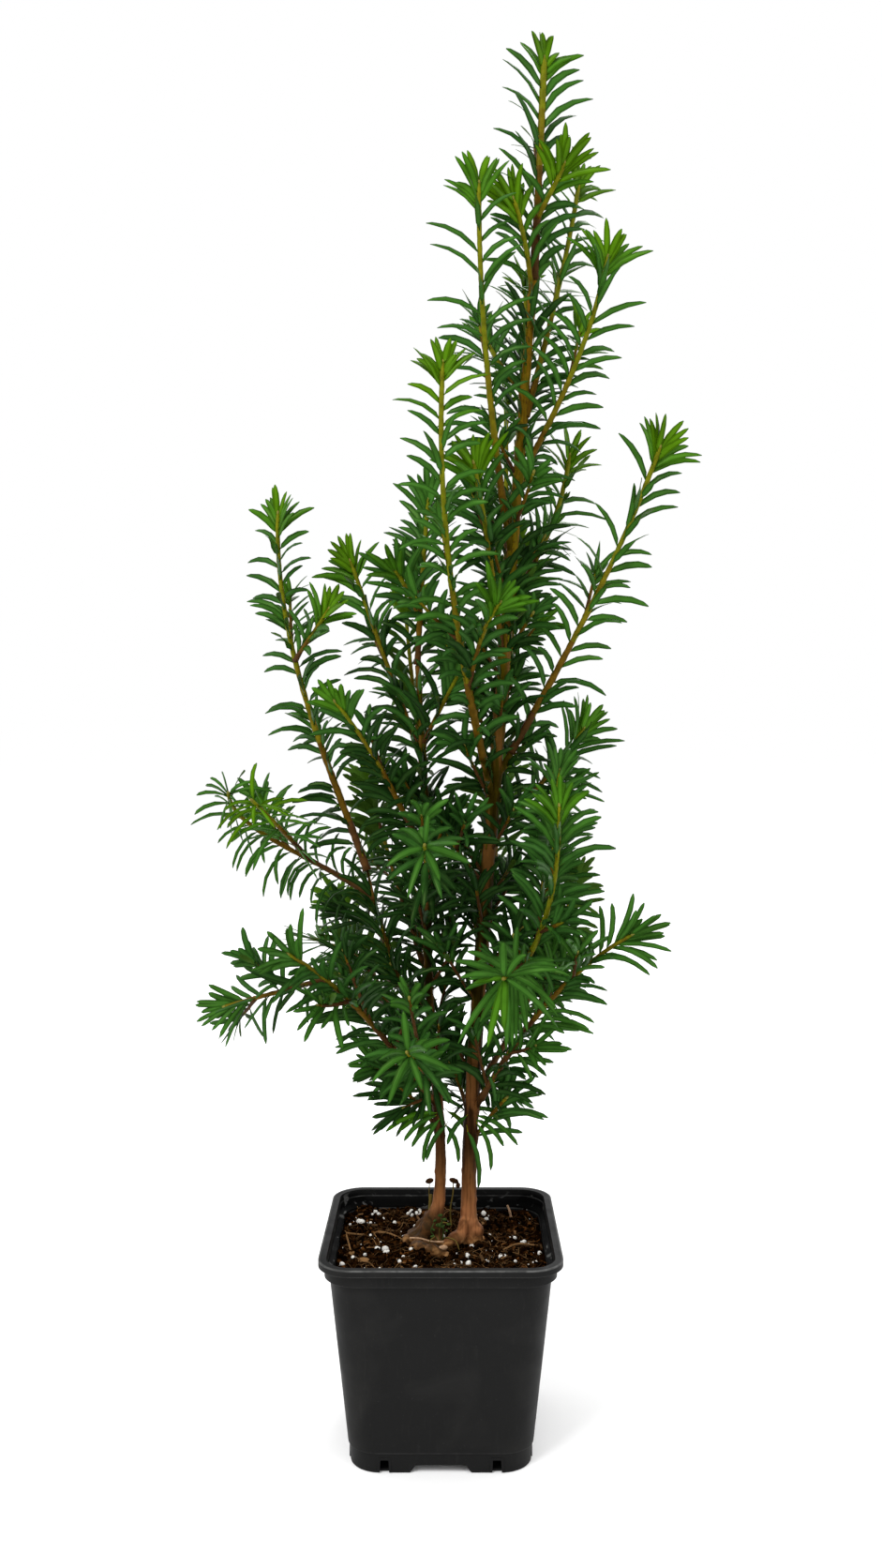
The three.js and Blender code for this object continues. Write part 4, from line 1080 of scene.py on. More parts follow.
# Loose grains on the mix: the shape of each kind, its least and greatest half size, its stretch, how far
# it may lean in radians, how rough it is, how deep it is sunk and the finishes it is dealt.
Grain = namedtuple("Grain", "shape size stretch lean rough sunk slots")
GRAINS = {
    "crumb": Grain("ball", (0.3, 1.35), (1, 0.8, 0.7), 1.5, 0.2, 0.35, (0, 0, 0, 0, 1, 1, 1, 2)),
    "flake": Grain("block", (0.35, 1.6), (1, 0.5, 0.3), 0.8, 0.18, 0.3, (0, 0, 1, 1, 1, 2)),
    "heaped_crumb": Grain("ball", (0.4, 1.9), (1, 0.85, 0.75), 1.5, 0.18, 0.1, (0, 0, 1)),
    "perlite": Grain("fine_ball", (0.8, 1.75), (1, 0.9, 0.75), 1.5, 0.07, 0.3, (0,)),
    "clustered_perlite": Grain("fine_ball", (1.0, 1.7), (1, 0.85, 0.75), 1.5, 0.08, 0.15, (0,)),
    "perlite_dust": Grain("ball", (0.25, 0.6), (1, 0.9, 0.75), 1.5, 0.07, 0.3, (0,)),
    "chip": Grain("block", (0.8, 2.3), (1, 0.42, 0.14), 0.35, 0.14, 0.2, (0, 1, 1)),
    "splinter": Grain("block", (0.8, 2.2), (1, 0.2, 0.16), 0.4, 0.12, 0.1, (0, 1)),
}
CHIPS = 60
# Heaps of crumbs by the stems: a place on the mix and a spread.
CRUMB_HEAPS = ((17.5, -1.5, 2.6), (-8, -15, 3.5), (5, -14, 3), (-17, 7, 2.5))
CRUMBS_IN_A_HEAP = 60
# Clusters of white grains: a place on the mix, a spread and a count.
PERLITE_CLUSTERS = ((-38.6, 24.8, 1.9, 4), (-32.5, 40, 1.4, 3), (-15, 39, 2.6, 7), (-26.4, -8, 1.2, 3),
                    (12, -15, 1, 2), (21, -20.5, 1.1, 2), (22, 37, 1.8, 3), (37, 8, 2, 3))


def scatter(batch, rng, kind, count, near=None):
    """Lays many rough copies of a grain on the mix, all over it or round a place."""
    grain = GRAINS[kind]
    points, faces = template(grain.shape)
    reach = mix_half() - 1.0
    corner = MIX_CORNER - 1.0
    turns = random_turns(rng, count, grain.lean)
    for turn in turns:
        while True:
            if near is None:
                x, y = rng.uniform(-reach, reach, 2)
            else:
                x, y = rng.normal(near[:2], near[2])
            if np.hypot(max(abs(x) - reach + corner, 0), max(abs(y) - reach + corner, 0)) < corner:
                break
        least, most = grain.size
        scale = least * (most / least) ** (rng.random() ** 2.2)
        body = points * (1 + grain.rough * rng.standard_normal(points.shape)) * np.array(grain.stretch)
        body *= scale * rng.uniform(0.7, 1.3, 3)
        body = body @ turn.T
        body += [x, y, mix_top(x, y) + (0.5 - grain.sunk) * (body[:, 2].max() - body[:, 2].min())]
        batch.add(body, faces, rng.choice(grain.slots))


def strand(batch, points, radius, sides, slot, tip=0.4):
    """A thin root or stalk along a few points."""
    limb = Limb(smooth_line(points, 6), (radius, radius * tip))
    places = np.linspace(0, 1, max(4, int(limb.length / 1.2)))
    tube(batch, limb, places, limb.radius(places), sides, slot)


def tube(batch, limb, places, radii, sides, slot, ribs=0.0):
    """A closed tube along a limb."""
    side, back, _ = carried_frames(limb, places)
    angle = np.arange(sides) * 2 * math.pi / sides
    wave = 1 + ribs * np.sin(3 * angle[None, :] + 9 * np.arange(len(places))[:, None])
    reach = (np.asarray(radii)[:, None] * wave)[..., None]
    rings = (limb.at(places)[:, None, :] + reach * (
        side[:, None, :] * np.cos(angle)[None, :, None] + back[:, None, :] * np.sin(angle)[None, :, None]))
    batch.add(rings.reshape(-1, 3), tube_faces(len(places), sides), slot)


def on_mix(x, y, lift=0.0):
    """A point on the top of the mix."""
    return np.array([x, y, mix_top(x, y) + lift])


FIBRES = ("pale_fibre", "brown_fibre", "dry_stalk", "sprig_green", "withered_leaf", "cut_wood", "peat_fibre")
# Single roots and stalks of each kind: a line of places with a lift over the mix, and a radius.
STALKS = {
    "pale_fibre": (
        (((-47, 11, 0.4), (-38, 12, 1.2), (-27, 10, 0.7), (-17, 5, 0.6)), 0.5),
        (((-47, 13, 0.5), (-45, 3, 1.6), (-43, -8, 0.9), (-41, -17, 0.4)), 0.55),
        (((29, -2, 0.3), (36, -1, 1.6), (46, -2, 0.8)), 0.55),
    ),
    "dry_stalk": (
        (((-6, 22, -1), (-5.4, 21, 9), (-6.2, 20, 19), (-6, 20, 25)), 0.32),
        (((4.7, 25, -1), (4.2, 25, 8), (5.6, 25, 17), (5.4, 25, 23)), 0.4),
        (((-5.5, 12, -1), (-5.8, 12, 9), (-5.2, 12, 19.5)), 1.1),
        (((0, -1, -1), (-1, -3, 8), (1, -5, 12), (5, -5, 12)), 0.32),
        (((1, -1, 3), (4, -4, 5), (7, -6, 4), (8.5, -7, 1)), 0.3),
        (((0, -2, 0), (-4, -5, 2), (-5.5, -7, 5), (-3, -7, 7)), 0.3),
    ),
    "sprig_green": (
        (((0, -1, -1), (-3, -4, 6), (-5, -6, 10), (-3.5, -7, 13)), 0.28),
        (((0, -1, -1), (1, -3, 9), (-0.5, -4, 15)), 0.28),
    ),
    "cut_wood": (
        (((35, 40, 0), (34.4, 40, 3.5), (33, 40, 7)), 0.7),
        (((-17, 1.6, 2.1), (-10.5, -2.9, 5.1), (-4.5, -5.4, 5), (1, -4.8, 2.8)), 0.5),
    ),
}
# Small leaves and blobs of each kind: a place with its lift, half sizes and a turn in degrees.
LITTER_LEAVES = {
    "withered_leaf": (
        ((-6, 19.5, 25.5), (2.2, 0.5, 1.8), 20), ((6, 25, 22.5), (2.8, 0.8, 1.7), -30),
        ((8, 24.5, 20.5), (1.2, 0.6, 1.9), 10),
    ),
    "cut_wood": (
        ((0.8, -11.3, 3.0), (2.3, 0.9, 1.5), 12),
    ),
    "sprig_green": (
        ((-0.5, -4.5, 15.5), (1.3, 0.5, 0.9), 15), ((1.5, -4.5, 13.5), (1.3, 0.5, 0.8), -25),
        ((-3, -5, 13.5), (1.2, 0.5, 0.8), 50), ((-1.3, -5, 11), (1.5, 0.7, 1.1), -10),
        ((0.7, -5, 10), (1.3, 0.6, 0.9), 35), ((-4, -5.5, 10.5), (1.2, 0.5, 0.8), -40),
        ((3.4, -5.5, 11.5), (1.1, 0.5, 0.7), 5), ((-0.1, -5.5, 12.2), (1.1, 0.5, 0.8), 80),
        ((-4.2, -6.5, 7), (1.1, 0.5, 0.8), 20), ((2.4, -5, 8.5), (1.0, 0.5, 0.7), -60),
    ),
    "pale_fibre": (
        ((17, 9, 0.8), (2.2, 1.6, 0.5), 30), ((-36, -22, 0.8), (3.0, 1.6, 0.5), 10),
        ((-42, -12, 0.9), (2.2, 1.2, 0.5), 60),
    ),
}
LEAF_LEAN = 0.4
# Fine roots strewn over the mix: how many long and short ones, how far from the middle they start and
# the edge that the long ones keep inside.
LONG_FIBRES, SHORT_FIBRES = 150, 650
LONG_FIBRE_REACH, SHORT_FIBRE_REACH = 42, 45
FIBRE_EDGE = 46
FIBRE_STRIDE = 3.2
FIBRE_SIDES, STALK_SIDES = 4, 6


class YEW_OT_scatter_litter(bpy.types.Operator):
    """Strews crumbs, bark flakes, perlite, root fibres and small litter over the potting mix"""

    bl_idname = "yew.scatter_litter"
    bl_label = "Scatter Litter"

    def execute(self, context):
        sizes, colours = context.scene.yew_sizes, context.scene.yew_colours
        rng = np.random.default_rng(11)
        self.strew_crumbs(rng, sizes, colours)
        self.strew_perlite(rng, sizes, colours)
        self.strew_chips(rng, colours)
        self.lay_fibres(rng, colours)
        return {"FINISHED"}

    def strew_crumbs(self, rng, sizes, colours):
        """Crumbs and flakes of bark and peat all over the mix, and heaps of them by the stems."""
        crumbs = Batch()
        scatter(crumbs, rng, "crumb", sizes.crumbs)
        scatter(crumbs, rng, "flake", sizes.crumbs // 2)
        for near in CRUMB_HEAPS:
            scatter(crumbs, rng, "heaped_crumb", CRUMBS_IN_A_HEAP, near)
        piece_of("mix_crumbs", crumbs.mesh("mix_crumbs"), [
            mottled("dark_crumb", shade(colours.mix_dark, 0.6), 0.95, 500, 0.5, 0.5),
            mottled("brown_crumb", shade(colours.mix_light, 0.9), 0.9, 500, 0.5, 0.5),
            mottled("tan_crumb", shade(colours.mix_light, 3.6), 0.85, 500, 0.5, 0.4)])

    def strew_perlite(self, rng, sizes, colours):
        """White grains, some in clusters, and their dust."""
        grains = Batch()
        scatter(grains, rng, "perlite", sizes.perlite)
        for x, y, spread, count in PERLITE_CLUSTERS:
            scatter(grains, rng, "clustered_perlite", count, (x, y, spread))
        scatter(grains, rng, "perlite_dust", 2 * sizes.perlite)
        piece_of("perlite_grains", grains.mesh("perlite_grains"), [
            mottled("perlite", colours.perlite, 0.95, 700, 0.12, 0.4)])

    def strew_chips(self, rng, colours):
        """Flat chips and splinters of bark."""
        chips = Batch()
        for kind in ("chip", "splinter"):
            scatter(chips, rng, kind, CHIPS)
        chip_mesh = chips.mesh("bark_chips")
        chip_mesh.set_sharp_from_angle(angle=math.radians(35))
        piece_of("bark_chips", chip_mesh, [
            mottled("bark_chip", colours.chip, 0.85, 300, 0.4, 0.4),
            mottled("dark_chip", shade(colours.chip, 0.4), 0.85, 300, 0.4, 0.4)])

    def lay_fibres(self, rng, colours):
        """Fine roots that lie on the mix, and a few stalks that stand in it."""
        fibres = Batch()
        for _ in range(LONG_FIBRES):
            x, y = rng.uniform(-LONG_FIBRE_REACH, LONG_FIBRE_REACH, 2)
            heading = rng.uniform(0, 2 * math.pi)
            points = []
            for _ in range(rng.integers(4, 8)):
                points.append(on_mix(x, y, rng.uniform(0.2, 1.1)))
                x = float(np.clip(x + FIBRE_STRIDE * math.cos(heading), -FIBRE_EDGE, FIBRE_EDGE))
                y = float(np.clip(y + FIBRE_STRIDE * math.sin(heading), -FIBRE_EDGE, FIBRE_EDGE))
                heading += rng.normal(0, 0.55)
            strand(fibres, points, rng.uniform(0.12, 0.3), FIBRE_SIDES, rng.choice((0, 1, 1)))
        for _ in range(SHORT_FIBRES):
            x, y = rng.uniform(-SHORT_FIBRE_REACH, SHORT_FIBRE_REACH, 2)
            heading, reach = rng.uniform(0, 2 * math.pi), rng.uniform(1.2, 3)
            points = []
            for k in (-1, 0, 1):
                place = (float(x + k * reach * math.cos(heading + 0.5 * k)),
                         float(y + k * reach * math.sin(heading + 0.5 * k)))
                points.append(on_mix(*place, rng.uniform(0, 1)))
            strand(fibres, points, rng.uniform(0.1, 0.2), FIBRE_SIDES, rng.choice((0, 1, 1, 6)))
        for kind, stalks in STALKS.items():
            for line, radius in stalks:
                places = [on_mix(x, y, lift) for x, y, lift in line]
                strand(fibres, places, radius, STALK_SIDES, FIBRES.index(kind), 0.75)
        points, faces = template("fine_ball")
        for kind, leaves in LITTER_LEAVES.items():
            for (x, y, lift), half, turn in leaves:
                stand = Matrix.Rotation(math.radians(turn), 3, "Z") @ Matrix.Rotation(LEAF_LEAN, 3, "X")
                leaf = on_mix(x, y, lift) + (points * half) @ np.array(stand).T
                fibres.add(leaf, faces, FIBRES.index(kind))
        looks = {
            "pale_fibre": (colours.fibre, 0.8, 300),
            "brown_fibre": (shade(colours.fibre, 0.35), 0.8, 300),
            "dry_stalk": (colours.dry_stalk, 0.8, 300),
            "sprig_green": (colours.sprig, 0.7, 900, 0.7),
            "withered_leaf": (colours.withered_leaf, 0.7, 400, 0.4),
            "cut_wood": (colours.cut_wood, 0.85, 500, 0.3, 0.3),
            "peat_fibre": (shade(colours.mix_light, 1.3), 0.9, 300),
        }
        piece_of("root_fibres", fibres.mesh("root_fibres"),
                 [mottled(kind, *looks[kind]) for kind in FIBRES])


# Stems, boughs and twigs.


def sweep_root(bm, line, radii, rings, sides, swell, waves, phase):
    """One root whose thickness swells and shrinks in waves along it."""
    root = Limb(smooth_line(line, 8), radii)
    places = np.linspace(0, 1, rings)
    sweep(bm, root, places, root.radius(places) * (1 + swell * np.sin(waves * places + phase)), sides)


def stem_skin(name, voxel):
    """A stem with its flare, its root ridges and its front roots, fused in one skin."""
    stem, limb = STEMS[name], LIMBS[name]
    ground = stem.line[0][2]
    places = np.linspace(0, 1, int(limb.length / 1.5))
    flare = stem.flare * np.exp(-(limb.at(places)[:, 2] - ground) / stem.flare_height)
    bm = bmesh.new()
    sweep(bm, limb, places, limb.radius(places) + flare, STEM_SIDES)
    foot = np.array(stem.line[0], float)
    for turn, reach, rise in stem.roots:
        way = np.array([math.cos(math.radians(turn)), math.sin(math.radians(turn)), 0])
        line = [foot + UP * rise, foot + 0.3 * reach * way + 0.42 * rise * UP,
                foot + 0.65 * reach * way + 0.14 * rise * UP, foot + reach * way - 1.2 * UP]
        sweep_root(bm, line, ROOT_RADIUS, 18, RIDGE_SIDES, 0.1, 11, turn)
    for line, radii in FRONT_ROOTS[name]:
        sweep_root(bm, line, radii, 20, ROOT_SIDES, 0.12, 13, line[0][0])
    bmesh.ops.bisect_plane(bm, geom=bm.verts[:] + bm.edges[:] + bm.faces[:], clear_inner=True,
                           plane_co=(0, 0, (ground - 1.5) * MM), plane_no=(0, 0, 1))
    bmesh.ops.holes_fill(bm, edges=[edge for edge in bm.edges if edge.is_boundary])
    return fused_mesh(bm, name + "_bark", voxel)


def collars(name):
    """A swelling on a stem where each shoot leaves it, and small ones where old needles stood."""
    limb = LIMBS[name]
    marks = [((x, y, z), height, spread) for x, y, z, height, spread in KNOTS[name]]
    for shoot_name, shoot in SHOOTS.items():
        if shoot.parent == name and shoot.at < 1:
            way = LIMBS[shoot_name].ahead([0.03])[0]
            start = limb.at([shoot.at])[0]
            marks.append((start + way * float(limb.radius(shoot.at)), *COLLAR))
    rng = np.random.default_rng(len(name))
    count = int(limb.length / SCAR_GAP)
    places = (np.arange(count) + rng.random(count)) / count
    side, back, _ = carried_frames(limb, places)
    for i, place in enumerate(places):
        angle = i * GOLDEN_ANGLE
        out = side[i] * math.cos(angle) + back[i] * math.sin(angle)
        mark = limb.at([place])[0] + out * float(limb.radius(place))
        marks.append((mark, rng.uniform(*SCAR_HEIGHTS), SCAR_SPREAD))
    return marks


class YEW_OT_make_stems(bpy.types.Operator):
    """Makes the two stems with their root flare and bark"""

    bl_idname = "yew.make_stems"
    bl_label = "Make Stems"

    def execute(self, context):
        sizes, colours = context.scene.yew_sizes, context.scene.yew_colours
        for name, stem in STEMS.items():
            mesh = stem_skin(name, sizes.bark_voxel / MM)
            bark_relief(mesh, sizes.bark_relief / MM, collars(name))
            finish = bark_finish(name + "_finish", colours, STEM_SPAN, STEM_COLOURS, stem.root_top,
                                 stem.root_light)
            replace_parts(piece_of(name + "_bark", mesh, [finish]), name)
        return {"FINISHED"}


class YEW_OT_make_boughs(bpy.types.Operator):
    """Makes the bare boughs"""

    bl_idname = "yew.make_boughs"
    bl_label = "Make Boughs"

    def execute(self, context):
        sizes, colours = context.scene.yew_sizes, context.scene.yew_colours
        groups = {"left_bough_bark": ["left_bough"],
                  "young_boughs": [name for name in SHOOTS if 0 < wood_of(name) < 1]}
        for piece_name, names in groups.items():
            bm = bmesh.new()
            for name in names:
                limb = LIMBS[name]
                end = min(wood_of(name) + 2 / limb.length, 1)
                places = np.linspace(0, end, int(limb.length * wood_of(name)) + 3)
                collar = 0.7 * np.exp(-places * limb.length / 2.5)
                sweep(bm, limb, places, limb.radius(places) + collar, BOUGH_SIDES)
            bmesh.ops.recalc_face_normals(bm, faces=bm.faces)
            mesh = mesh_of(bm, piece_name)
            bark_relief(mesh, 0.6 * sizes.bark_relief / MM)
            old = piece_name == "left_bough_bark"
            finish = bark_finish(piece_name + "_finish", colours, BOUGH_SPAN, BOUGH_COLOURS)
            nodes = ["left_bough"] if old else ["bough_" + name for name in names]
            piece = piece_of(piece_name, mesh, [finish])
            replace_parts(piece, *nodes)
        return {"FINISHED"}


# A twig's line, how far along it the needles start, the shoot it belongs to, and 1 for the shoot's own
# twig or 2 for a side twig.
Twig = namedtuple("Twig", "limb start name order")


def trim_of(twig):
    """What sets the twig's shoot apart."""
    return TRIMS.get(twig.name, Trim())


def short_twig(start, way, length, lift, name):
    """A short straight twig that lifts or sags a little on its way."""
    s = np.linspace(0, 1, 6)[:, None]
    points = start + way * length * s + lift * length * UP * s * s
    return Twig(Limb(points, SHORT_TWIG_RADIUS), 0.0, name, 2)


def side_twig(limb, place, angle, length, name):
    """A short twig that leaves a limb at this angle round it."""
    ahead = limb.ahead([place])[0]
    side = unit(np.cross(ahead, [1.0, 0.0, 0.0]))
    side = side * math.cos(angle) + np.cross(ahead, side) * math.sin(angle)
    way = ahead * math.cos(SIDE_TWIG_ANGLE) + side * math.sin(SIDE_TWIG_ANGLE)
    return short_twig(limb.at([place]), way, length, SIDE_TWIG_LIFT, name)


def side_twigs(name, rng):
    """The short side twigs of a shoot: the solid's own, then finer ones between them."""
    limb, start = LIMBS[name], wood_of(name)
    draw = seeded(FIRST_SEED + SEED_STEP * masses().index(name)) if name in masses() else None
    low = max(start, SIDE_TWIG_FROM)
    own = round(limb.length * (1 - start) / SIDE_TWIG_STRETCH) if draw else 0
    twigs = []
    for i in range(own):
        angle = GOLDEN_ANGLE * i + 2 * math.pi * next(draw)
        length = SIDE_TWIG_LENGTH[0] + (SIDE_TWIG_LENGTH[1] - SIDE_TWIG_LENGTH[0]) * next(draw)
        twigs.append(side_twig(limb, low + (SIDE_TWIG_TO - low) * (i + 0.5) / own, angle, length, name))
    height = limb.at([0.5])[0][2]
    if height > FINE_TWIG_TOP or name in ROSETTES + ARCHING + OPEN:
        return twigs
    count = round(limb.length * 0.75 / float(np.interp(height, *FINE_TWIG_GAPS)))
    turn = rng.random()
    for i in range(count):
        place = 0.08 + 0.7 * (i + rng.uniform(0.2, 0.8)) / count
        angle = GOLDEN_ANGLE * i + 2 * math.pi * turn
        twigs.append(side_twig(limb, place, angle, rng.uniform(*FINE_TWIG_LENGTH), name))
    return twigs


def stem_twigs(name, rng):
    """Short twigs that the stem carries inside the crown, but few on the side that shows it."""
    limb, (low, high) = LIMBS[name], STEM_TWIGS[name]
    places = (np.arange(low, high, STEM_TWIG_GAP) - STEMS[name].line[0][2]) / limb.length
    twigs = []
    for i, place in enumerate(places):
        twig = side_twig(limb, place, GOLDEN_ANGLE * i + 1, rng.uniform(*STEM_TWIG_LENGTH), name)
        if place > 0.3 or unit(twig.limb.points[-1] - twig.limb.points[0]).dot(FRONT) < 0.3:
            twigs.append(twig)
    return twigs


def hanging_twigs():
    """Short twigs low on the stems that hang to the sides."""
    twigs = []
    for name, place, turn, rise, length in HANGING:
        turn, rise = math.radians(turn), math.radians(rise)
        way = np.array([math.cos(turn) * math.cos(rise), math.sin(turn) * math.cos(rise), math.sin(rise)])
        twigs.append(short_twig(LIMBS[name].at([place]), way, length, -HANGING_SAG, name))
    return twigs


def all_twigs():
    """Every twig that carries needles."""
    rng = np.random.default_rng(5)
    twigs = []
    for name, shoot in SHOOTS.items():
        if shoot.wood < 1:
            twigs.append(Twig(LIMBS[name], 0.45 * shoot.wood, name, 1))
            twigs.extend(side_twigs(name, rng))
    twigs.extend(hanging_twigs())
    for name in STEM_TWIGS:
        twigs.extend(stem_twigs(name, rng))
    return twigs


TWIGS = all_twigs()


def twig_radii(twig, places, rng):
    """The uneven radii of a twig at these places, stouter at its base and at its tip's bud."""
    run = (places - twig.start) * twig.limb.length
    radii = twig.limb.radius(places) * (1.24 + 0.1 * rng.standard_normal(len(places)).clip(-1, 1))
    high = float(smoothstep(twig.limb.at([1.0])[0, 2], 330, 480))
    least = trim_of(twig).stout or (0.95 + 0.25 * high if twig.order == 1 else 0.8)
    radii = np.maximum(radii, least * (1 - 0.35 * np.exp((places - 1) * twig.limb.length / 2.5)))
    return radii + 0.4 * np.exp(-run / 1.6)


def twig_slots(twig, places):
    """The finish of each face of a twig, from green at its tip to brown at its base."""
    height = twig.limb.at(places)[:-1, 2]
    age = (1 - places[:-1]) * 0.9 + (0.35 if twig.order == 2 else 0) - 0.0017 * (height - 320)
    slots = np.digitize(age + trim_of(twig).axis, TWIG_AGE_STEPS)
    ends = TWIG_SIDES // 2 - 1
    return np.concatenate([np.repeat(slots, TWIG_SIDES), [slots[0]] * ends, [slots[-1]] * ends])


class YEW_OT_make_twigs(bpy.types.Operator):
    """Makes the twigs inside every mass of needles, with a bud at each tip"""

    bl_idname = "yew.make_twigs"
    bl_label = "Make Twigs"

    def execute(self, context):
        colours = context.scene.yew_colours
        twigs, buds = Batch(), Batch()
        points, faces = template("ball")
        points = points * BUD_HALF
        rng = np.random.default_rng(3)
        for twig in TWIGS:
            span = twig.limb.length * (1 - twig.start)
            places = np.linspace(twig.start, 1, max(4, int(span / TWIG_RING_SPACING)))
            radii = twig_radii(twig, places, rng)
            tube(twigs, twig.limb, places, radii, TWIG_SIDES, twig_slots(twig, places), TWIG_RIBS)
            side, back, ahead = (part[0] for part in carried_frames(twig.limb, np.array([1.0])))
            bud = points[:, :1] * side + points[:, 1:2] * back + (points[:, 2:] + BUD_STEP) * ahead
            buds.add(twig.limb.at([1.0])[0] + bud, faces)
        piece = piece_of("twigs", twigs.mesh("twigs"), [
            twig_finish("green_twig", colours.twig_green), twig_finish("olive_twig", colours.twig_olive),
            twig_finish("orange_twig", shade(colours.bark_orange, 0.5)),
            twig_finish("brown_twig", shade(colours.bark, 0.4))])
        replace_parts(piece, *["needles_" + name for name in masses()])
        piece_of("tip_buds", buds.mesh("tip_buds"), [
            mottled("bud_scale", colours.bud, 0.6, 500, 0.3, 0.2)])
        return {"FINISHED"}


# Needles.


# One column for each measure of many needles: the place on the twig, the way the twig runs, the way
# out of it, the way the needle's upper side faces and the twig's radius there, then the blade's own.
Needles = namedtuple("Needles", "root ahead out face radius length width blunt lean arch twist bend sag age")


def inside(points):
    """How deep in the crown each point is: 1 at its middle, 0 at its edge."""
    middle = np.interp(points[:, 2], *CROWN_MIDDLE)
    reach = np.interp(points[:, 2], *CROWN_REACH)
    gap = np.hypot(points[:, 0] - middle, points[:, 1] - CROWN_AXIS[1]) / reach
    return 1 - smoothstep(gap, 0.15, 0.85)


def outward(points, ahead):
    """The way a spray on each point faces: out of the crown, and to the front or back of it."""
    upright = np.abs(ahead[:, 2:])
    out = unit((points - CROWN_AXIS) * [1, 1, 0])
    turn = 1 - 2 * smoothstep(points[:, 1:2], *FACING_TURN)
    way = 0.4 * out + turn * FRONT + UP * 0.45 * (1 - upright ** 2)
    return unit(way - ahead * dot(way, ahead))


def kind_of(twig):
    """How a twig carries its needles, as HABITS names it."""
    if twig.order > 1:
        return "side"
    if twig.name in ROSETTES:
        return "rosette"
    if twig.name in ARCHING:
        return "arching"
    return "back" if twig.name.startswith("back_") else "ranked"


class Spray:
    """The needles of one twig, in a spiral from its base to its tip."""

    def __init__(self, twig, rng, sizes):
        self.twig, self.limb, self.rng, self.sizes = twig, twig.limb, rng, sizes
        self.kind = kind_of(twig)
        self.habit = HABITS[self.kind]
        self.trim = trim_of(twig)
        self.places = self.space()
        self.total = len(self.places)
        self.root, self.ahead = self.limb.at(self.places), self.limb.ahead(self.places)
        self.height = self.root[:, 2]
        self.upright = np.abs(self.ahead[:, 2])
        self.run = (self.places - twig.start) * self.limb.length
        self.to_tip = (1 - self.places) * self.limb.length
        self.near_tip = 1 - smoothstep(self.to_tip, 0, self.habit.tip_reach)
        self.far = smoothstep(self.to_tip, 20, 120)
        self.face = outward(self.root, self.ahead)

    def space(self):
        """The place of each needle along the twig, those of the plume last."""
        limb, ranked = self.limb, self.kind == "ranked"
        start = self.twig.start + self.habit.bare / limb.length
        height = limb.at([0.6])[0, 2]
        spacing = self.sizes.needle_spacing / MM * (0.85 + 0.4 * smoothstep(height, 280, 460))
        spacing = spacing * (1 if self.kind == "side" else self.trim.gap)
        spacing = spacing * (1 + 0.18 * smoothstep(height, 360, 440))
        last = 1 - 10 / limb.length if ranked else 1
        self.count = max(4, round((last - start) * limb.length / spacing))
        tips = self.habit.tips
        self.plume = 0.3 + 0.85 * np.arange(tips) if ranked else self.rng.uniform(0, 8, tips)
        even = start + (last - start) * (np.arange(self.count) + 0.5) / self.count
        return np.concatenate([even, 1 - self.plume / limb.length])

    def turn(self):
        """The angle of each needle round the twig, its lean, its arch and its way out of the twig."""
        rng, total, habit = self.rng, self.total, self.habit
        comb = self.sizes.comb_level + (self.sizes.comb_upright - self.sizes.comb_level) * self.upright
        comb = comb * (1 - 0.7 * self.near_tip) * habit.comb
        comb = comb * (1 - 0.3 * self.upright * (1 - smoothstep(self.height, 200, 380)))
        lean = np.radians(48 + (27 + 9 * self.far - 48) * self.upright
                          + (0 if self.kind == "side" else self.trim.lean))
        tip_lean = habit.tip_lean + habit.tip_open * np.clip(self.to_tip / habit.tip_run, 0, 1)
        lean = lean + (np.radians(tip_lean) - lean) * self.near_tip
        arch = np.radians(10 + 42 * self.upright) * (1 - 0.25 * self.near_tip)
        if self.kind == "ranked":
            arch = arch * rng.uniform(0.8, 1.2, total) * np.clip(0.25 + self.to_tip / 12, 0, 1)
            spin = math.pi * (np.arange(total) % 2) + rng.uniform(-0.8, 0.8, total)
            # Some needles of the lower crown leave their rank and cross the front of the twig.
            stray = (rng.random(total) < self.crossing()) & (np.arange(total) < self.count)
            spin = np.where(stray, math.pi / 2 + rng.uniform(-1, 1, total), spin)
            lean = lean - rng.uniform(0.1, 0.4, total) * stray
        else:
            arch = arch * rng.uniform(0.6, 1.35, total)
            spin = rng.random() * 2 * math.pi + GOLDEN_ANGLE * np.arange(total) + rng.normal(0, 0.25, total)
        side = np.cross(self.ahead, self.face)
        out = unit(side * np.cos(spin)[:, None] + self.face * (np.sin(spin) * (1 - comb))[:, None])
        return lean, arch, out

    def crossing(self):
        """The share of needles that cross the front of the twig."""
        share = (0.12 * (1 - smoothstep(self.height, 550, 590))
                 + 0.26 * (1 - smoothstep(self.height, 400, 520)))
        if self.twig.name in STEMS:
            share = share + 0.35 * smoothstep(self.height, 480, 505)
        return share

    def measure(self, low):
        """The length and width of each needle, given how low in the crown it grows."""
        rng, total, sizes = self.rng, self.total, self.sizes
        side_share = self.trim.side if self.kind == "side" else 1
        length = sizes.needle_length / MM * rng.uniform(0.8, 1.08, total) * side_share
        length = length * (1 - (0 if self.kind == "rosette" else 0.12) * self.near_tip)
        length = length * np.where(rng.random(total) < 0.1, 0.7, 1)
        length = length * (0.62 + 0.38 * smoothstep(self.run, 0, 14))
        if self.kind == "ranked":
            plume = 0.74 + 0.3 * np.clip(self.plume / 9, 0, 1)
        else:
            plume = rng.uniform(0.6, 0.95, self.habit.tips)
        length[self.count:] *= plume
        length[self.count:] *= self.trim.plume
        length = length * self.trim.length * (1 + 0.07 * low)
        width = sizes.needle_width / MM * rng.uniform(0.85, 1.12, total) * (1.06 - 0.2 * low)
        return length, width * self.trim.broad

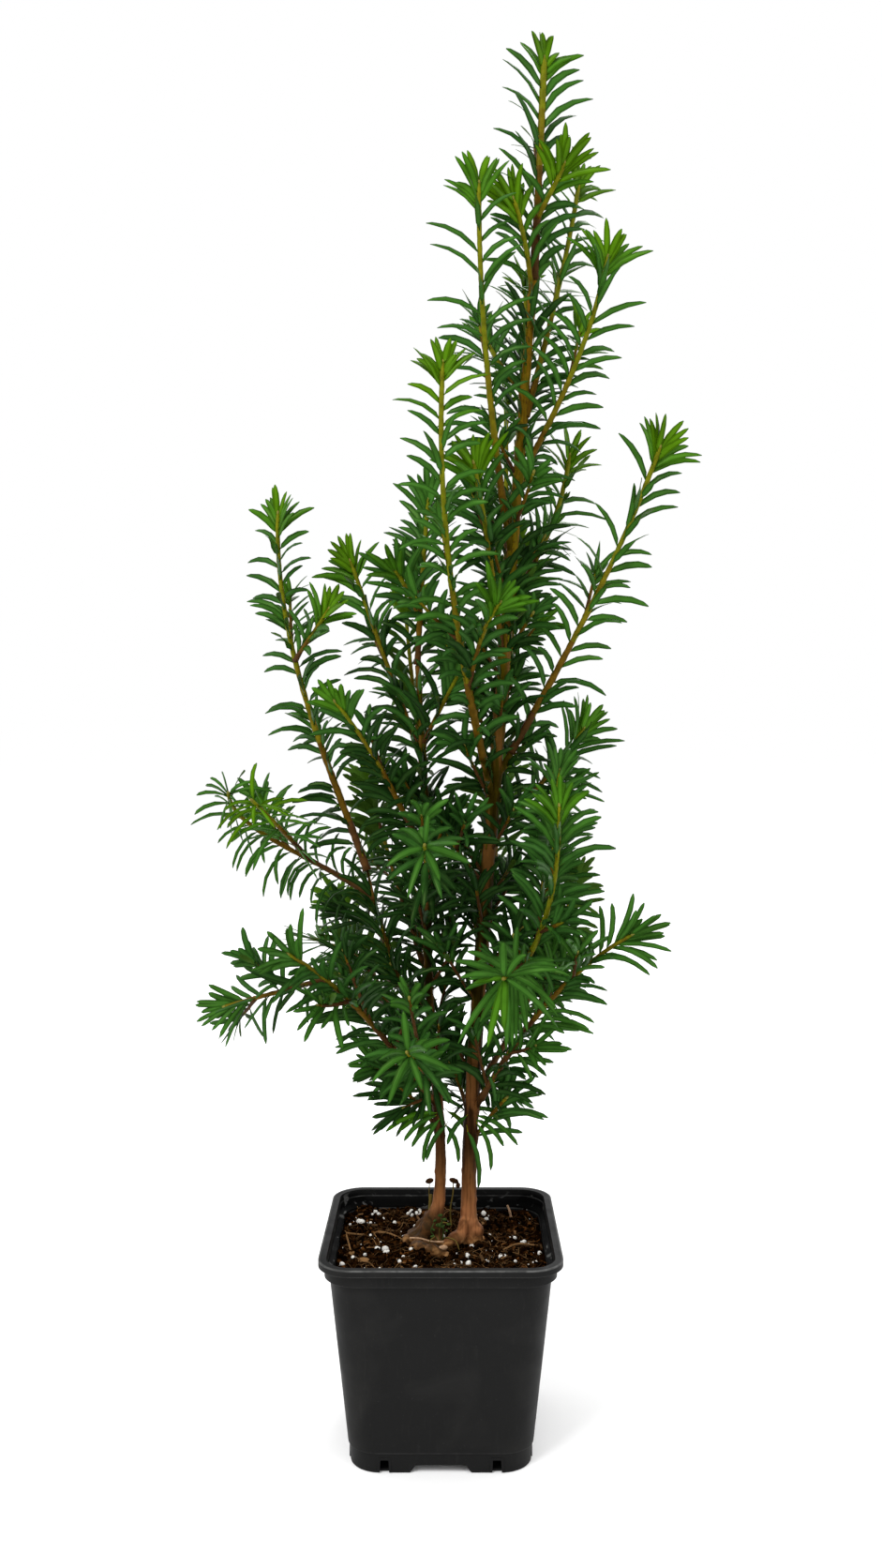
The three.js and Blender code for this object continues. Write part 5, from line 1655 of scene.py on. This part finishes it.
    def ages_and_shade(self):
        """The age of each needle: 0 at a fresh tip, near 1 deep in the crown, where the darkening is partly
        painted shade.
        """
        tuft = np.floor(self.run / 22).astype(int)
        tint = self.rng.normal(0, 0.07) + self.rng.normal(0, 0.06, tuft.max() + 1)[tuft]
        # The term for depth in the crown darkens inner needles as painted shade as well as for their age.
        return (0.24 + 0.24 * (1 - smoothstep(self.height, 170, 500)) + 0.3 * inside(self.root) + tint
                - self.habit.youth * self.near_tip * smoothstep(self.height, 110, 400)
                - 0.12 * (1 - smoothstep(self.height, 150, 200)) + self.trim.shade)

    def rows(self):
        """The finished rows."""
        rng, total = self.rng, self.total
        lean, arch, out = self.turn()
        low = 1 - smoothstep(self.height, 220, 380)
        length, width = self.measure(low)
        arch = arch * self.trim.broad
        sag = 0.04 + 0.05 * self.far
        if self.kind == "arching":
            width, arch, sag = 0.68 * width, arch + 0.7 + 0.4 * self.near_tip, np.full(total, 0.12)
        if self.kind == "rosette":
            width, sag = 1.22 * width, sag + rng.uniform(0.08, 0.34, total)
        age = self.ages_and_shade()
        face = self.face
        blunt = 1 - 0.65 * smoothstep(self.height, 260, 420) * (1 - 0.4 * self.far)
        if self.kind == "rosette":
            face = unit(face + 3 * self.ahead)
            blunt = 0.45 * blunt
            # The last two reach forward past the bud.
            lean[-2:], arch[-2:] = 0.35, 0.3
            length[-2:] = 0.82 * self.sizes.needle_length / MM
        return Needles(
            self.root, self.ahead, out, face, self.limb.radius(self.places), length, width, blunt,
            lean + rng.normal(0, self.habit.uneven, total), arch, rng.normal(0, np.radians(12), total),
            rng.normal(0, 0.04, total), sag, age)


def needled_wood_rows(name, rng, sizes):
    """The needles that a stem or bough carries between its shoots."""
    limb, (low, high) = LIMBS[name], NEEDLED_WOOD[name]
    ground = limb.points[0][2]
    places = np.linspace(max(low - ground, 0) / limb.length, min((high - ground) / limb.length, 1), 40)
    part = Limb(limb.at(places), limb.radius(places))
    spray = Spray(Twig(part, 0.0, name, 1), rng, sizes)
    rows = spray.rows()
    keep = rng.random(spray.total) < smoothstep(rows.root[:, 2], low - 60, low + 160)
    keep[spray.count:] = False
    return Needles(*[column[keep] for column in rows])


def drooping_rows(sizes):
    """The single needles that droop from the lower stems."""
    root, tip = (np.array(ends, float) for ends in zip(*DROOPING))
    ahead = unit(tip - root)
    out = unit(ahead * dot(ahead, UP) - UP)
    total = len(root)
    face = np.tile(FRONT, (total, 1))
    face[tip[:, 1] > 9] *= -1
    full = np.ones(total)
    age = 0.16 + 0.3 * (np.arange(total) * 0.618 % 1)
    return Needles(root, ahead, out, face, 0 * full, 1.05 * np.linalg.norm(tip - root, axis=1),
                   0.78 * sizes.needle_width / MM * full, full, -0.5 * full, 0.95 * full, 0 * full, 0 * full,
                   0 * full, age)


def needle_shapes(rows):
    """Every point of every needle: one row of stations, each with six corners."""
    total = len(rows.age)
    stations = np.array(NEEDLE_STATIONS)
    along = np.clip(stations[:, 0], 0, 1)
    length = rows.length[:, None]
    base = rows.root + rows.out * (1.25 * rows.radius[:, None] - 0.15)
    centres = np.empty((total, len(stations), 3))
    headings = np.empty_like(centres)
    tilts = rows.lean[:, None] + rows.arch[:, None] * along ** 0.85
    for k, share in enumerate(stations[:, 0]):
        if share < 0:
            centres[:, k] = base + rows.ahead * share * length - rows.out * 0.1
            headings[:, k] = rows.ahead
            continue
        tilt = tilts[:, k:k + 1]
        headings[:, k] = rows.ahead * np.cos(tilt) + rows.out * np.sin(tilt)
        centres[:, k] = base if share == 0 else centres[:, k - 1] + unit(
            headings[:, k] + headings[:, k - 1]) * (share - along[k - 1]) * length
    natural = -np.cross(np.cross(rows.ahead, rows.out)[:, None, :], headings)
    straight = np.abs(dot(rows.out, rows.face))
    wanted = unit(rows.face * (1 - 0.45 * straight ** 2) + 0.32 * rows.ahead + 0.18 * UP)[:, None, :]
    turn_in = np.clip((stations[:, 0] + 0.02) / 0.14, 0, 1)[None, :, None]
    normal = natural * (1 - turn_in) + wanted * turn_in
    normal = unit(normal - headings * dot(normal, headings))
    across = np.cross(normal, headings)
    twist = (rows.twist[:, None] * np.clip(stations[:, 0] / 0.3, 0, 1.0))[..., None]
    normal, across = (normal * np.cos(twist) + across * np.sin(twist),
                      across * np.cos(twist) - normal * np.sin(twist))
    centres = centres + across * (rows.bend[:, None] * length * along ** 2)[..., None]
    centres = centres - UP * (rows.sag[:, None] * length * along ** 2.5)[..., None]
    shares = stations[:, 1] + rows.blunt[:, None] * stations[:, 3]
    half = (0.5 * rows.width[:, None] * shares)[..., None, None]
    thick = (NEEDLE_HALF_THICKNESS * stations[:, 2])[None, :, None, None]
    section = np.array(NEEDLE_SECTION)
    return (centres[:, :, None, :] + across[:, :, None, :] * half * section[:, 0][None, None, :, None]
            + normal[:, :, None, :] * thick * section[:, 1][None, None, :, None])


def limb_points():
    """A search tree over every limb's middle line, with the radius at each point."""
    points, radii = [], []
    for limb in [*LIMBS.values(), *[twig.limb for twig in TWIGS if twig.order == 2]]:
        places = np.linspace(0, 1, max(3, int(limb.length / 1.6)))
        points.extend(limb.at(places))
        radii.extend(limb.radius(places))
    tree = KDTree(len(points))
    for i, point in enumerate(points):
        tree.insert(point, i)
    tree.balance()
    return tree, radii


def clear_of_limbs(shapes):
    """Which needles run into no limb on their way out."""
    tree, radii = limb_points()
    middles = shapes.mean(axis=2)[:, 4:]
    keep = np.ones(len(shapes), bool)
    for i, line in enumerate(middles):
        for point in line:
            _, index, gap = tree.find(point)
            if gap < 0.9 * radii[index] + 0.1:
                keep[i] = False
                break
    return keep


def needle_mesh(shapes, name):
    """One mesh of many needles, with its rim edges sharp, and slots for blade, underside, ridge and rib."""
    count, stations, corners, _ = shapes.shape
    faces = tube_faces(stations, corners)
    slots = np.ones(len(faces), int)
    walls = (stations - 1) * corners
    column = np.tile(np.arange(corners), stations - 1)
    blade, rib = np.isin(column, NEEDLE_BLADE_FACES), np.isin(column, NEEDLE_RIB_FACES)
    slots[:walls] = np.select([blade, rib], [0, 3], 1)
    slots[:RIDGE_STATIONS * corners] = 2
    batch = Batch()
    per = stations * corners
    every = (faces[None] + (np.arange(count) * per)[:, None, None]).reshape(-1, 4)
    batch.add(shapes.reshape(-1, 3), every, np.tile(slots, count))
    mesh = batch.mesh(name)
    ends = np.empty(2 * len(mesh.edges), np.int32)
    mesh.edges.foreach_get("vertices", ends)
    ends = ends.reshape(-1, 2)
    column = ends % corners
    same = (column[:, 0] == column[:, 1]) & (ends[:, 0] // per == ends[:, 1] // per)
    rim = same & np.isin(column[:, 0], NEEDLE_RIM_CORNERS)
    mesh.attributes.new("sharp_edge", "BOOLEAN", "EDGE").data.foreach_set("value", rim)
    return mesh


class YEW_OT_make_needles(bpy.types.Operator):
    """Grows the needles on every twig and on the young wood of the stems"""

    bl_idname = "yew.make_needles"
    bl_label = "Make Needles"

    def execute(self, context):
        sizes, colours = context.scene.yew_sizes, context.scene.yew_colours
        rng = np.random.default_rng(21)
        rows = [Spray(twig, rng, sizes).rows() for twig in TWIGS]
        rows.extend(needled_wood_rows(name, rng, sizes) for name in NEEDLED_WOOD)
        rows.append(drooping_rows(sizes))
        rows = Needles(*[np.concatenate(parts) for parts in zip(*rows)])
        shapes = needle_shapes(rows)
        keep = clear_of_limbs(shapes) & (shapes[:, -1, 0, 2] > NEEDLE_FLOOR)
        keep[-len(DROOPING):] = True
        shapes, age = shapes[keep], rows.age[keep]
        groups = np.digitize(age, NEEDLE_AGE_STEPS)
        for group, age_name in enumerate(NEEDLE_AGES):
            tint = getattr(colours, "needle_" + age_name)
            ridge = colours.twig_green if group < 3 else colours.twig_olive
            under = tuple(0.65 * part + 0.35 * pale for part, pale in zip(tint, colours.needle_under))
            finishes = [
                # Painted light: the blade's edges are darkened as painted shade and the rib is lightened as a
                # painted highlight.
                needle_finish(age_name + "_blade", shade(tint, 0.82), 0.34 + 0.015 * (4 - group)),
                needle_finish(age_name + "_underside", under, 0.5),
                needle_finish(age_name + "_ridge", ridge, 0.5),
                needle_finish(age_name + "_rib", shade(tint, 1.3), 0.3, 0.14)]
            chosen = shapes[groups == group]
            print(age_name, len(chosen), "needles")
            for part in range(0, len(chosen), NEEDLES_IN_A_PIECE):
                name = f"needles_{age_name}_{part // NEEDLES_IN_A_PIECE + 1}"
                mesh = needle_mesh(chosen[part:part + NEEDLES_IN_A_PIECE], name)
                piece = piece_of(name, mesh, finishes)
                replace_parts(piece, *["needles_" + mass for mass in masses()])
        return {"FINISHED"}


# Stage, in metres.

# Softboxes: the name, place, power in watts and width of each.
SOFTBOXES = (
    ("key_softbox", (-0.9, -1.1, 1.6), 24, 0.8),
    ("fill_softbox", (1.3, -0.9, 0.9), 5, 1.0),
    ("back_softbox", (0.4, 1.3, 1.4), 10, 0.8),
)
LIGHT_TARGET = (0, 0, 0.3)
FLOOR_RADIUS = 30
FLOOR_DROP = 0.0002
CAMERA_PLACE = (0.0051, -0.66885, 0.33762)
# The lens in millimetres, and how far the view is shifted, as shares of its longer side.
CAMERA_LENS = 32.22
CAMERA_SHIFT = (-0.0071, -0.0423)


class YEW_OT_make_stage(bpy.types.Operator):
    """Sets a pale floor, soft studio light and the camera"""

    bl_idname = "yew.make_stage"
    bl_label = "Make Stage"

    def execute(self, context):
        scene = context.scene
        bm = bmesh.new()
        bmesh.ops.create_circle(bm, cap_ends=True, segments=64, radius=FLOOR_RADIUS)
        floor = bpy.data.objects.new("studio_floor", mesh_of(bm, "studio_floor"))
        floor.data.materials.append(Finish("pale_floor", (1, 1, 1), 1.0, specular_ior_level=0).material)
        floor.location.z = -FLOOR_DROP
        scene.collection.objects.link(floor)
        world = bpy.data.worlds.new("studio")
        world.use_nodes = True
        sky = world.node_tree.nodes["Background"].inputs
        sky["Color"].default_value = (1, 1, 1, 1)
        sky["Strength"].default_value = 1.0
        scene.world = world
        for name, place, power, size in SOFTBOXES:
            self.light(name, place, power, size)
        camera = bpy.data.objects.new("camera", bpy.data.cameras.new("camera"))
        camera.location = CAMERA_PLACE
        camera.rotation_euler = (math.pi / 2, 0, 0)
        camera.data.lens = CAMERA_LENS
        camera.data.shift_x, camera.data.shift_y = CAMERA_SHIFT
        scene.collection.objects.link(camera)
        scene.camera = camera
        scene.view_settings.view_transform = "Standard"
        return {"FINISHED"}

    def light(self, name, place, power, size):
        """A square softbox that faces the middle of the plant."""
        lamp = bpy.data.lights.new(name, "AREA")
        lamp.energy = power
        lamp.size = size
        box = bpy.data.objects.new(name, lamp)
        box.location = place
        box.rotation_euler = (Vector(LIGHT_TARGET) - Vector(place)).to_track_quat("-Z", "Y").to_euler()
        bpy.context.scene.collection.objects.link(box)


# Settings, panel and order of work.


def length_property(name, description, default):
    """A size in metres that the panel shows as a length."""
    return FloatProperty(name=name, description=description, default=default, min=0, unit="LENGTH",
                         subtype="DISTANCE", precision=5)


def swatch(name, description, default):
    """A colour that the panel shows as a swatch."""
    return FloatVectorProperty(name=name, description=description, default=default, subtype="COLOR", size=3,
                               min=0, max=1)


class YewSizes(bpy.types.PropertyGroup):
    """Sizes that a user may change"""

    pot_height: length_property("Pot height", "Floor to the top of the lip", round(POT_BOX[1].z, 5))
    rim_half: length_property("Rim half width", "Middle of the pot to the lip's outer face",
                              round(POT_BOX[1].x, 5))
    rim_corner: length_property("Rim corner", "Radius of the lip's corners", 0.0155)
    edge_round: length_property("Edge rounding", "Radius of the pot's moulded edges", 0.0004)
    corner_segments: IntProperty(name="Corner faces", description="Faces round each corner of the pot",
                                 default=14, min=4)
    mix_level: length_property("Mix level", "Height of the potting mix over the floor", 0.086)
    crumbs: IntProperty(name="Crumbs", description="Number of loose crumbs on the mix", default=3600, min=0)
    perlite: IntProperty(name="Perlite", description="Number of white grains on the mix", default=60, min=0)
    bark_voxel: length_property("Bark grid", "Fineness of the fused stem skin", 0.00055)
    bark_relief: length_property("Bark relief", "Depth of the ridges in the bark", 0.00022)
    needle_length: length_property("Needle length", "Length of a full-grown needle", 0.0262)
    needle_width: length_property("Needle width", "Width of a full-grown needle", 0.003)
    needle_spacing: length_property("Needle spacing", "Length of twig for each needle", 0.00258)
    comb_upright: FloatProperty(name="Combing, upright", description="How flat an upright twig's needles lie",
                                default=0.72, min=0, max=1, subtype="FACTOR")
    comb_level: FloatProperty(name="Combing, level", description="How flat a level twig's needles lie",
                              default=0.8, min=0, max=1, subtype="FACTOR")


class YewColours(bpy.types.PropertyGroup):
    """Colours that a user may change"""

    pot: swatch("Pot", "Black plastic", (0.0075, 0.0075, 0.0074))
    pot_dust: swatch("Pot dust", "Dust on the plastic", (0.018, 0.0175, 0.0165))
    # This colour also paints the highlights along the pot's edges.
    pot_wear_and_highlight: swatch("Pot wear", "Rubbed edges of the plastic", (0.075, 0.075, 0.073))
    mix_dark: swatch("Mix, dark", "Moist peat", (0.0043, 0.0014, 0.0004))
    mix_light: swatch("Mix, light", "Drier bark crumbs", (0.02, 0.0072, 0.0016))
    perlite: swatch("Perlite", "White grains", (0.72, 0.7, 0.65))
    chip: swatch("Bark chip", "Tan bark chips", (0.15, 0.08, 0.034))
    fibre: swatch("Root fibre", "Pale root fibres", (0.17, 0.09, 0.036))
    dry_stalk: swatch("Dry stalk", "Straw-coloured stalks in the mix", (0.12, 0.085, 0.02))
    sprig: swatch("Sprig", "Green seedlings in the mix", (0.035, 0.062, 0.014))
    withered_leaf: swatch("Withered leaf", "Brown leaves on the stalks", (0.055, 0.024, 0.009))
    cut_wood: swatch("Cut wood", "Pale cuts in the root crown", (0.4, 0.25, 0.15))
    bark: swatch("Bark", "Brown bark of the lower stems", (0.125, 0.049, 0.015))
    bark_foot: swatch("Bark, foot", "Grey-tan bark of the root flare", (0.18, 0.07, 0.027))
    bark_pale: swatch("Bark, pale", "Pale flakes in the bark", (0.21, 0.11, 0.045))
    # This colour is partly painted shade in the hollows of the root crown.
    root_dark: swatch("Root, dark", "Wet dark wood of the root crown", (0.03, 0.0135, 0.005))
    root_orange: swatch("Root, orange", "Orange-brown roots", (0.08, 0.032, 0.0095))
    root_tan: swatch("Root, tan", "Dry ridges of the root crown", (0.27, 0.14, 0.055))
    bark_orange: swatch("Bark, orange", "Orange-brown young wood", (0.165, 0.085, 0.005))
    bark_olive: swatch("Bark, olive", "Olive young wood", (0.125, 0.093, 0.0025))
    twig_olive: swatch("Twig, olive", "Second-year twigs", (0.11, 0.09, 0.003))
    twig_green: swatch("Twig, green", "This year's twigs", (0.11, 0.118, 0.003))
    bud: swatch("Bud", "Bud scales", (0.16, 0.15, 0.03))
    needle_fresh: swatch("Needles, fresh", "Tips of the shoots", (0.041, 0.104, 0.0012))
    needle_young: swatch("Needles, young", "Near the tips", (0.0275, 0.088, 0.0035))
    needle_summer: swatch("Needles, summer", "The middle of the shoots", (0.02, 0.07, 0.0075))
    needle_old: swatch("Needles, old", "The lower crown", (0.0145, 0.053, 0.0075))
    needle_deep: swatch("Needles, deep", "The inside of the crown", (0.0065, 0.0245, 0.004))
    needle_under: swatch("Needle undersides", "Pale bands below", (0.06, 0.1, 0.008))


STEPS = ("make_pot", "make_mix", "scatter_litter", "make_stems", "make_boughs", "make_twigs", "make_needles",
         "make_stage")


class YEW_PT_panel(bpy.types.Panel):
    """Lists the plant's pieces, sizes and colours"""

    bl_idname = "YEW_PT_panel"
    bl_label = "English Yew"
    bl_space_type = "VIEW_3D"
    bl_region_type = "UI"
    bl_category = "Yew"

    def draw(self, context):
        for step in STEPS:
            self.layout.operator("yew." + step)
        for group in (context.scene.yew_sizes, context.scene.yew_colours):
            column = self.layout.column(align=True)
            for name in group.__annotations__:
                column.prop(group, name)


CLASSES = (YewSizes, YewColours, YEW_OT_make_pot, YEW_OT_make_mix, YEW_OT_scatter_litter, YEW_OT_make_stems,
           YEW_OT_make_boughs, YEW_OT_make_twigs, YEW_OT_make_needles, YEW_OT_make_stage, YEW_PT_panel)


def register():
    for cls in CLASSES:
        bpy.utils.register_class(cls)
    bpy.types.Scene.yew_sizes = PointerProperty(type=YewSizes)
    bpy.types.Scene.yew_colours = PointerProperty(type=YewColours)


def unregister():
    del bpy.types.Scene.yew_colours
    del bpy.types.Scene.yew_sizes
    for cls in reversed(CLASSES):
        bpy.utils.unregister_class(cls)


def main():
    """Makes every piece in order."""
    register()
    for step in STEPS:
        getattr(bpy.ops.yew, step)()


if __name__ == "__main__":
    main()
